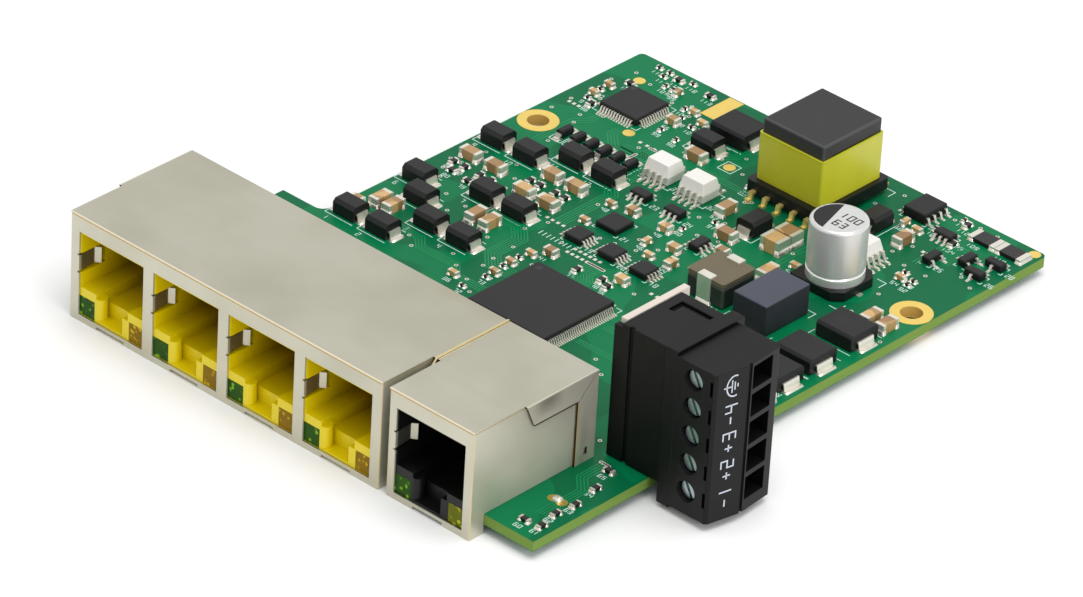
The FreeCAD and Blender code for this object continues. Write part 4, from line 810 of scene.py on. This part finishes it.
class DressChips(bpy.types.Operator):
    """Chips, diodes, optocouplers and the small two-ended parts"""
    bl_idname = "switchboard.dress_chips"
    bl_label = "Chips and small parts"

    def execute(self, context):
        _, parts, _, _ = settings()
        dress(epoxy_body("chip_epoxy", parts.epoxy),
              "switch_chip", "controller_chip", "small_chips", "large_diodes", "small_diodes")
        dress(moulded("white_moulding", ink(226, 224, 218), 0.4, 0.006, 0.05, coat=0.1), "optocouplers")
        dress(plated("lead_solder", parts.solder, 0.36, 0.12, 0.7),
              "switch_chip_leads", "controller_chip_leads", "small_chip_leads", "diode_leads",
              "ceramic_capacitor_ends", "chip_resistor_ends")
        dress(fired_ceramic("tan_ceramic", parts.ceramic, parts.ceramic_deep), "ceramic_capacitors")
        dress(epoxy_body("resistor_glaze", ink(48, 46, 46)), "chip_resistors")
        soften(0.08, "small_diodes", "large_diodes", "optocouplers")
        return {"FINISHED"}


class SolderJoints(bpy.types.Operator):
    """Solder that wets each pad and climbs each metal end"""
    bl_idname = "switchboard.solder_joints"
    bl_label = "Solder joints"

    # how far up each kind of metal end the solder climbs, as a share of its height
    CLIMB = {"ceramic_capacitor_ends": 0.42, "chip_resistor_ends": 0.6, "diode_leads": 0.16,
             "moulded_inductor_terminals": 0.5, "clipped_inductor_clips": 0.12}
    # the fillet's hollow flank, from its foot up: share of the spread, share of the climb
    FLANK = ((1.0, 0.0), (0.96, 0.06), (0.5, 0.28), (0.12, 1.0))

    def execute(self, context):
        _, parts, sizes, _ = settings()
        joints = Outline()
        for node, share in self.CLIMB.items():
            for low, high in solids(node):
                rise = (high.z - BOARD_TOP) * share
                joints.rings([fillet_loop(low, high, sizes.fillet * spread, BOARD_TOP + rise * up)
                              for spread, up in self.FLANK])
        joints.make("solder_fillets", plated("solder_joints", parts.solder, 0.27, 0.12, 0.9),
                    "tinned_copper", smooth=True)
        return {"FINISHED"}


def fillet_loop(low, high, spread, z):
    """A rectangle with cut corners, spread past a footprint, at one height."""
    corner = 0.6 * spread + 0.05 * MM
    x0, x1 = low.x - spread, high.x + spread
    y0, y1 = low.y - spread, high.y + spread
    return [(x0 + corner, y0, z), (x1 - corner, y0, z), (x1, y0 + corner, z), (x1, y1 - corner, z),
            (x1 - corner, y1, z), (x0 + corner, y1, z), (x0, y1 - corner, z), (x0, y0 + corner, z)]


def beside(path, offset):
    """A path moved sideways by an offset, with its corners kept sharp."""
    def leftward(direction):
        return Vector((-direction.y, direction.x, 0))
    moved = []
    for point, (before, after, heading) in zip(path, headings(path)):
        aside = leftward(heading)
        moved.append(point + aside * (offset / aside.dot(leftward(after or before))))
    return moved


class LayTracks(bpy.types.Operator):
    """Raised tracks under the resist, bundled and bent at 45 degrees, with plated holes"""
    bl_idname = "switchboard.lay_tracks"
    bl_label = "Tracks and plated holes"

    # each bundle: how many tracks, their pitch, and the middle line across and back in millimetres
    BUNDLES = [
        (6, 0.42, [(36.6, 47.6), (33.2, 47.6), (31.0, 49.8), (31.0, 55.2), (28.6, 57.6), (22.8, 57.6)]),
        (4, 0.42, [(36.6, 42.0), (31.4, 42.0), (29.6, 43.8), (23.2, 43.8), (21.6, 45.4), (13.0, 45.4)]),
        (5, 0.45, [(31.6, 62.4), (31.6, 73.0), (30.2, 74.4), (30.2, 79.6), (27.6, 82.2), (27.6, 86.4)]),
        (3, 0.5, [(23.5, 84.2), (30.0, 84.2), (33.0, 87.2), (44.0, 87.2), (45.6, 85.6)]),
        (4, 0.45, [(20.4, 87.0), (20.4, 85.4), (22.8, 83.0), (26.4, 83.0)]),
        (3, 0.55, [(38.0, 99.6), (36.4, 98.0), (36.4, 93.4), (35.0, 92.0)]),
        (4, 0.4, [(53.8, 47.2), (57.0, 47.2), (59.6, 49.8), (59.6, 55.0), (62.4, 57.8)]),
        (3, 0.4, [(53.8, 42.0), (64.0, 42.0), (67.4, 45.4), (67.4, 49.6)]),
        (8, 0.4, [(44.0, 52.8), (44.0, 53.6), (42.8, 54.8), (42.8, 57.6)]),
        (2, 0.6, [(71.4, 90.4), (71.4, 95.8), (73.6, 98.0), (75.6, 98.0)]),
        (2, 0.6, [(62.8, 88.4), (60.6, 88.4), (59.0, 86.8), (59.0, 75.0)]),
        (3, 0.5, [(14.2, 76.4), (14.2, 84.0), (15.8, 85.6), (15.8, 88.0)]),
        (4, 0.45, [(78.8, 8.0), (78.8, 16.0), (76.6, 18.2), (76.6, 22.6)]),
    ]

    def execute(self, context):
        tones, parts, sizes, _ = settings()
        ribs, ends = Outline(), []
        for count, pitch, line in self.BUNDLES:
            middle = [spot(x, y) for x, y in line]
            for i in range(count):
                path = beside(middle, (i - (count - 1) / 2) * pitch * MM)
                ribs.stroke(path, sizes.track_width, sizes.track_rise, UP)
                ends.append(path[-1])
        resist = moulded("track_resist", tones.track_green, 0.35, 0.004, 0.1, gloss=0.25)
        ribs.make("tracks", resist, "solder_mask")
        places = ends + self.scatter(sizes.seed)

        def lifted(share):
            return [(at + UP * (sizes.track_rise * share), (1, 1, 1)) for at in places]

        tin = plated("hole_tin", parts.solder, 0.4, 0.15, 0.6)
        lands = disc_growth("hole_lands", tin, sizes.via_radius)
        grow("hole_lands", lands, lifted(0.6), "tinned_copper", Thickness=sizes.track_rise * 1.2)
        # dark discs painted where the holes go down, as the shade inside them
        dark = moulded("drilling_dark", ink(18, 40, 28), 0.6)
        drillings = disc_growth("drillings", dark, sizes.via_radius * 0.5)
        grow("drillings", drillings, lifted(1.2), "solder_mask", Thickness=0.012 * MM)
        return {"FINISHED"}

    def scatter(self, seed):
        """Plated holes where no part stands, a little apart, and none in the board's front left corner."""
        pick = random.Random(seed)
        taken = [pair for node in STANDING for pair in solids(node)]
        free_corner = spot(32, 43)
        clear = 0.6 * MM
        found = []
        for _ in range(2600):
            at = spot(pick.uniform(9.5, 81.5), pick.uniform(24.5, 104.5))
            if at.x < free_corner.x and at.y < free_corner.y:
                continue
            if any(low.x - clear < at.x < high.x + clear and low.y - clear < at.y < high.y + clear
                   for low, high in taken):
                continue
            if all((at - other).length > 2.3 * MM for other in found):
                found.append(at)
        return found[:130]


STANDING = ("large_diodes", "small_diodes", "diode_leads", "optocouplers", "small_chips",
            "small_chip_leads", "switch_chip", "switch_chip_leads", "controller_chip",
            "controller_chip_leads", "ceramic_capacitors", "ceramic_capacitor_ends", "chip_resistors",
            "chip_resistor_ends", "gold_lands", "transformer_bobbin", "transformer_pins", "capacitor_base",
            "capacitor_leads", "clipped_inductor_core", "clipped_inductor_clips", "moulded_inductor",
            "moulded_inductor_terminals", "terminal_header", "riser_board", "port_bank_cover",
            "uplink_cover")


class BarePads(bpy.types.Operator):
    """Tinned lands under every lead, spare test pads, and two gold lobes by the single jack"""
    bl_idname = "switchboard.bare_pads"
    bl_label = "Lands and test pads"

    # each row of test pads: where its first pad is, how many, and their pitch
    SPARE_ROWS = [((37.6, 57.6), 7, 0.9), ((37.9, 58.9), 6, 0.9), ((24.6, 86.6), 3, 1.3),
                  ((29.6, 62.2), 4, 1.0), ((52.6, 58.0), 3, 1.1), ((64.4, 75.9), 3, 1.0),
                  ((70.4, 93.6), 2, 1.2), ((10.2, 87.6), 3, 0.9)]
    TEST_PAD = on(0.5, 0.55, 0.06)
    LOBES = [(77.4, 11.9), (78.9, 11.9)]
    # the drop of solder between the lobes: its footprint's corners, then its flank from the foot up
    DROP = ((77.7, 11.5), (78.6, 12.3))
    DROP_FLANK = ((1.0, 0.0), (0.8, 0.25), (0.2, 0.5), (-0.8, 0.56))

    def execute(self, context):
        _, parts, _, _ = settings()
        tin = plated("land_solder", parts.solder, 0.42, 0.15, 0.55)
        pads = [self.pad(low, high) for node in ("switch_chip_leads", "controller_chip_leads",
                                                 "small_chip_leads") for low, high in solids(node)]
        grow("lead_lands", block_growth("lead_lands", tin), pads, "tinned_copper")
        tests = [(spot(x + i * pitch, y), self.TEST_PAD)
                 for (x, y), count, pitch in self.SPARE_ROWS for i in range(count)]
        grow("test_pads", block_growth("test_pads", tin), tests, "tinned_copper")
        lobes = disc_growth("gold_lobes", plated("lobe_gold", parts.gold, 0.34, 0.08), 0.8 * MM)
        grow("gold_lobes", lobes, [(spot(x, y), (1, 1, 1)) for x, y in self.LOBES], "gold_plating",
             Thickness=0.07 * MM)
        drop = Outline()
        low, high = (spot(x, y) for x, y in self.DROP)
        drop.rings([fillet_loop(low, high, 0.2 * MM * spread, BOARD_TOP + rise * MM)
                    for spread, rise in self.DROP_FLANK])
        drop.make("solder_bead", tin, "tinned_copper", smooth=True)
        return {"FINISHED"}

    def pad(self, low, high):
        """A land under one lead, longer than the lead's foot."""
        wide, long = high.x - low.x, high.y - low.y
        grow_x, grow_y = (0.3 * MM, 0.03 * MM) if wide > long else (0.03 * MM, 0.3 * MM)
        middle = (low + high) / 2
        return Vector((middle.x, middle.y, BOARD_TOP)), (wide + grow_x, long + grow_y, 0.05 * MM)


class PrintMarks(bpy.types.Operator):
    """White outlines and small numbers printed beside the parts"""
    bl_idname = "switchboard.print_marks"
    bl_label = "Printed marks"

    # parts that stand inside four corner marks, by the length of the marks' arms
    FRAMED = {1.0: ("switch_chip", "controller_chip"),
              1.6: ("clipped_inductor_cap", "moulded_inductor", "capacitor_base", "transformer_bobbin")}
    SQUARE, SQUARE_RADIUS = (37.6, 90.7), 1.7
    ARROWS = [((60.2, 60.4), 1.0), ((80.3, 51.2), 0.8)]
    # a row of short strokes: where it starts, how many, their pitch and length
    SCALE, SCALE_COUNT, SCALE_PITCH, SCALE_STROKE = (31.6, 58.2), 9, 0.75, 1.0

    def execute(self, context):
        tones, _, sizes, _ = settings()
        self.sizes, self.shapes, self.count = sizes, Outline(), 0
        for node, margin in (("small_diodes", 0.45), ("large_diodes", 0.5)):
            for low, high in solids(node):
                self.beside_body(low, high, margin * MM)
        for low, high in solids("small_chips"):
            self.corners(low, high, 0.3 * MM, 0.5 * MM)
            self.number(high.x + 0.9 * MM, low.y - 0.2 * MM)
        for arm, nodes in self.FRAMED.items():
            for node in nodes:
                self.corners(*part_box(node), 0.7 * MM, arm * MM)
        for low, high in solids("optocouplers"):
            self.corners(low, high, 0.5 * MM, 0.8 * MM)
            self.number(high.x + 0.6 * MM, low.y)
        for node, every in (("ceramic_capacitors", 2), ("chip_resistors", 1)):
            for low, high in solids(node)[::every]:
                self.number(low.x, low.y - 1.4 * MM, 0.7)
        self.square(spot(*self.SQUARE), self.SQUARE_RADIUS * MM)
        for place, size in self.ARROWS:
            self.arrow(spot(*place), size * MM)
        for i in range(self.SCALE_COUNT):
            foot = spot(self.SCALE[0] + i * self.SCALE_PITCH, self.SCALE[1])
            self.line(foot, foot + on(0, self.SCALE_STROKE, 0))
        self.shapes.make("printed_marks", printed("print_ink", tones.print_white), "white_moulding")
        return {"FINISHED"}

    def line(self, *places):
        """A printed line through places, of which only how far across and back they are counts."""
        path = [(place[0], place[1], BOARD_TOP) for place in places]
        self.shapes.stroke(path, self.sizes.print_width, self.sizes.print_rise, UP)

    def number(self, x, y, height=0.85):
        """The next number, small, in the way that boards are numbered."""
        self.count += 1
        write(self.shapes, str(self.count), (x, y, BOARD_TOP), on(0.42, 0, 0), on(0, height, 0),
              0.1 * MM, self.sizes.print_rise)

    def beside_body(self, low, high, margin):
        """Lines along a diode's two long sides, closed by a bar past one end."""
        along_x = high.x - low.x > high.y - low.y
        reach = 1.0 * MM
        if along_x:
            for y in (low.y - margin, high.y + margin):
                self.line((low.x - reach, y), (high.x + reach * 0.3, y))
            self.line((low.x - reach, low.y - margin), (low.x - reach, high.y + margin))
            self.number(low.x, low.y - margin - 1.4 * MM)
        else:
            for x in (low.x - margin, high.x + margin):
                self.line((x, low.y - reach), (x, high.y + reach * 0.3))
            self.line((low.x - margin, low.y - reach), (high.x + margin, low.y - reach))

    def corners(self, low, high, margin, arm):
        for x, inward in ((low.x - margin, 1), (high.x + margin, -1)):
            for y, back in ((low.y - margin, 1), (high.y + margin, -1)):
                self.line((x + inward * arm, y), (x, y), (x, y + back * arm))
        dot = Vector((low.x - margin * 1.8, high.y + margin * 0.4, BOARD_TOP))
        self.ring(dot, 0.05 * MM, 0.2 * MM, 10)

    def ring(self, centre, inner, outer, count):
        """A flat ring of thickened quads."""
        for i in range(count):
            start, end = 360 * i / count, 360 * (i + 1) / count
            quad = [around(centre, radius, angle) for radius, angle in (
                (inner, start), (outer, start), (outer, end), (inner, end))]
            self.shapes.prism(quad, UP * self.sizes.print_rise)

    def square(self, centre, radius):
        corners = [around(centre, radius, 45 + 90 * i) for i in range(5)]
        for first, second in zip(corners, corners[1:]):
            self.line(first, second)

    def arrow(self, at, size):
        """A triangle that points along the board, with a bar at its tip."""
        for a, b in (((0, 0), (1, 0.6)), ((1, 0.6), (0, 1.2)), ((0, 1.2), (0, 0)), ((1, 0), (1, 1.2))):
            self.line(*((at.x + u * size, at.y + v * size) for u, v in (a, b)))


class MarkParts(bpy.types.Operator):
    """Way marks on the plug, the can's dark segment, and the dimple that shows each chip's first lead"""
    bl_idname = "switchboard.mark_parts"
    bl_label = "Marks on parts"

    WAY_SIGNS = ("-1", "+2", "+3", "-4")
    LABEL_RISE, LABEL_LINE, EARTH_LINE = 0.02 * MM, 0.21 * MM, 0.18 * MM
    CAN_RISE, CAN_LINE = 0.012 * MM, 0.2 * MM
    CAN_NUMBERS = [("100", -0.2, 0.3), ("63", 0.2, -1.9)]

    def execute(self, context):
        self.label_plug(printed("label_ink", ink(196, 202, 214), 0.2))
        self.mark_can()
        self.dimple_chips()
        return {"FINISHED"}

    def label_plug(self, paint):
        """A number and sign for each way on the plug's slanted face, and an earth sign for the last."""
        low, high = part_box("plug_body")
        foot = Vector((high.x - 1.0 * MM, low.y + 0.4 * MM, 0))
        ridge = Vector((high.x, low.y + 5.2 * MM, 0))
        up = (foot - ridge).normalized()
        outward = UP.cross(up)
        base = ridge + up * (1.5 * MM) + outward * (0.002 * MM)
        signs = Outline()
        for way in WAYS:
            screw_low, screw_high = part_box("clamp_screw_%d" % way)
            middle = (screw_low.z + screw_high.z) / 2
            if way <= len(self.WAY_SIGNS):
                start = Vector((base.x, base.y, middle - 1.5 * MM))
                write(signs, self.WAY_SIGNS[way - 1], start, on(0, 0, 1.05), up * (1.95 * MM),
                      self.LABEL_LINE, self.LABEL_RISE)
            else:
                self.earth(signs, Vector((base.x, base.y, middle)), up)
        signs.make("way_marks", paint, "white_moulding")

    def earth(self, signs, base, up):
        """Three bars on a stem inside an arc."""
        def draw(places, line):
            path = [base + UP * (u * MM) + up * (v * MM) for u, v in places]
            signs.stroke(path, line, self.LABEL_RISE, UP.cross(up))

        for half, v in ((0.95, 1.1), (0.6, 0.65), (0.25, 0.2)):
            draw([(-half, v), (half, v)], self.EARTH_LINE)
        draw([(0, 1.1), (0, 2.4)], self.EARTH_LINE)
        angles = [math.radians(200 - i * 22) for i in range(11)]
        draw([(1.55 * math.cos(a), 0.7 + 1.25 * math.sin(a)) for a in angles], 0.2 * MM)

    def mark_can(self):
        """A black segment on the can's top, and two short numbers."""
        low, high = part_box("capacitor_can")
        middle = Vector(((low.x + high.x) / 2, (low.y + high.y) / 2, high.z))
        radius = (high.x - low.x) / 2 - 0.55 * MM
        dark = Outline()
        dark.prism([around(middle, radius, 120 + i * 15) for i in range(11)], UP * self.CAN_RISE)
        for number, x, y in self.CAN_NUMBERS:
            write(dark, number, middle + on(x, y, 0), on(0.7, 0, 0), on(0, 1.3, 0), self.CAN_LINE,
                  self.CAN_RISE)
        dark.make("can_marks", printed("can_ink", ink(34, 34, 36), 0.2), "black_plastic")

    def dimple_chips(self):
        """A shallow round mark in the first corner of each chip: how far in it is, and its radius."""
        spots = []
        for node, inset, radius in (("switch_chip", 1.3, 0.55), ("controller_chip", 0.9, 0.38),
                                    ("small_chips", 0.55, 0.2)):
            for low, high in solids(node):
                at = Vector((low.x + inset * MM, high.y - inset * MM, high.z + 0.002 * MM))
                spots.append((at, on(radius, radius, 0.01)))
        dimple = disc_growth("first_lead_dimples", moulded("dimple_grey", ink(30, 30, 32), 0.35), 1.0)
        grow("first_lead_dimples", dimple, spots, "chip_epoxy", Radius=1.0, Thickness=1.0)


class Studio(bpy.types.Operator):
    """Pale floor, soft lights and the camera"""
    bl_idname = "switchboard.studio"
    bl_label = "Studio"

    # the camera: what it aims at from the part's middle, degrees round, above and tilted, metres away,
    # and its focal length in millimetres
    AIM_OFFSET = on(-2.2, -8.3, -7.7)
    AZIMUTH, ELEVATION, ROLL = 41.15, 31.78, 3.43
    DISTANCE = 0.9086
    LENS = 226.1
    FLOOR_HALF = 3.0
    # each lamp: where it stands from the part's middle, its width in metres, its share of the key power
    LAMPS = {"key_light": ((0.15, -0.05, 0.6), 0.5, 1.0), "side_light": ((0.7, -0.15, 0.25), 0.4, 0.62)}

    def execute(self, context):
        lights = settings()[3]
        self.make_floor(lights)
        self.make_camera()
        self.make_lights(lights)
        context.scene.view_settings.view_transform = "Standard"
        return {"FINISHED"}

    def make_floor(self, lights):
        mesh = bpy.data.meshes.new("floor")
        half, z = self.FLOOR_HALF, CAD_BOX[0].z
        mesh.from_pydata([(-half, -half, z), (half, -half, z), (half, half, z), (-half, half, z)], [],
                         [(0, 1, 2, 3)])
        f = Finish("floor_paper", {"Roughness": 0.9, "Specular IOR Level": 0.1})
        faint = f.speckle(40, 2)
        mesh.materials.append(f.done(f.shade(tuple(lights.floor), 0.99 + faint * 0.02)))
        floor = link("floor", mesh)

    def make_camera(self):
        a, e, r = (math.radians(x) for x in (self.AZIMUTH, self.ELEVATION, self.ROLL))
        forward = Vector((-math.sin(a) * math.cos(e), math.cos(a) * math.cos(e), -math.sin(e)))
        level = Vector((math.cos(a), math.sin(a), 0))
        upright = level.cross(forward)
        right = level * math.cos(r) + upright * math.sin(r)
        up = upright * math.cos(r) - level * math.sin(r)
        lens = bpy.data.cameras.new("camera")
        lens.lens, lens.sensor_width = self.LENS, 36
        lens.clip_start, lens.clip_end = 0.05, 10
        camera = link("camera", lens)
        turned = Matrix((right, up, -forward)).transposed().to_4x4()
        aim = (CAD_BOX[0] + CAD_BOX[1]) / 2 + self.AIM_OFFSET
        camera.matrix_world = Matrix.Translation(aim - forward * self.DISTANCE) @ turned
        bpy.context.scene.camera = camera

    def make_lights(self, lights):
        centre = (CAD_BOX[0] + CAD_BOX[1]) / 2
        for name, (offset, size, share) in self.LAMPS.items():
            lamp = bpy.data.lights.new(name, "AREA")
            lamp.shape, lamp.size, lamp.energy = "DISK", size, lights.key * share
            holder = link(name, lamp)
            holder.location = centre + Vector(offset)
            holder.rotation_euler = (-Vector(offset)).to_track_quat("-Z", "Y").to_euler()
        world = bpy.data.worlds.new("room")
        world.use_nodes = True
        room = Nodes(world.node_tree)
        shown = room.add("ShaderNodeLightPath", output="Is Camera Ray")
        background = world.node_tree.nodes["Background"]
        background.inputs["Color"].default_value = (1, 1, 1, 1)
        room.feed(background.inputs["Strength"], shown * (1 - lights.room) + lights.room)
        bpy.context.scene.world = world


STEPS = (DressBoard, DressJacks, DressTerminalBlock, DressWoundParts, DressChips, SolderJoints, LayTracks,
         BarePads, PrintMarks, MarkParts, Studio)


class BoardPanel(bpy.types.Panel):
    """Lists the settings and steps of the switch board"""
    bl_idname = "VIEW3D_PT_switchboard"
    bl_label = "Switch board"
    bl_space_type = "VIEW_3D"
    bl_region_type = "UI"
    bl_category = "Switch board"

    def draw(self, context):
        for group in settings():
            box = self.layout.box()
            for name in group.__annotations__:
                box.prop(group, name)
        for step in STEPS:
            self.layout.operator(step.bl_idname)


GROUPS = {"board_tones": BoardTones, "part_tones": PartTones, "board_sizes": BoardSizes,
          "light_settings": LightSettings}


def register():
    for group in GROUPS.values():
        bpy.utils.register_class(group)
    for name, group in GROUPS.items():
        setattr(bpy.types.Scene, name, PointerProperty(type=group))
    for step in STEPS + (BoardPanel,):
        bpy.utils.register_class(step)


def unregister():
    for step in STEPS + (BoardPanel,):
        bpy.utils.unregister_class(step)
    for name, group in GROUPS.items():
        delattr(bpy.types.Scene, name)
        bpy.utils.unregister_class(group)


def main():
    register()
    for step in STEPS:
        family, name = step.bl_idname.split(".")
        getattr(getattr(bpy.ops, family), name)()


if __name__ == "__main__":
    main()
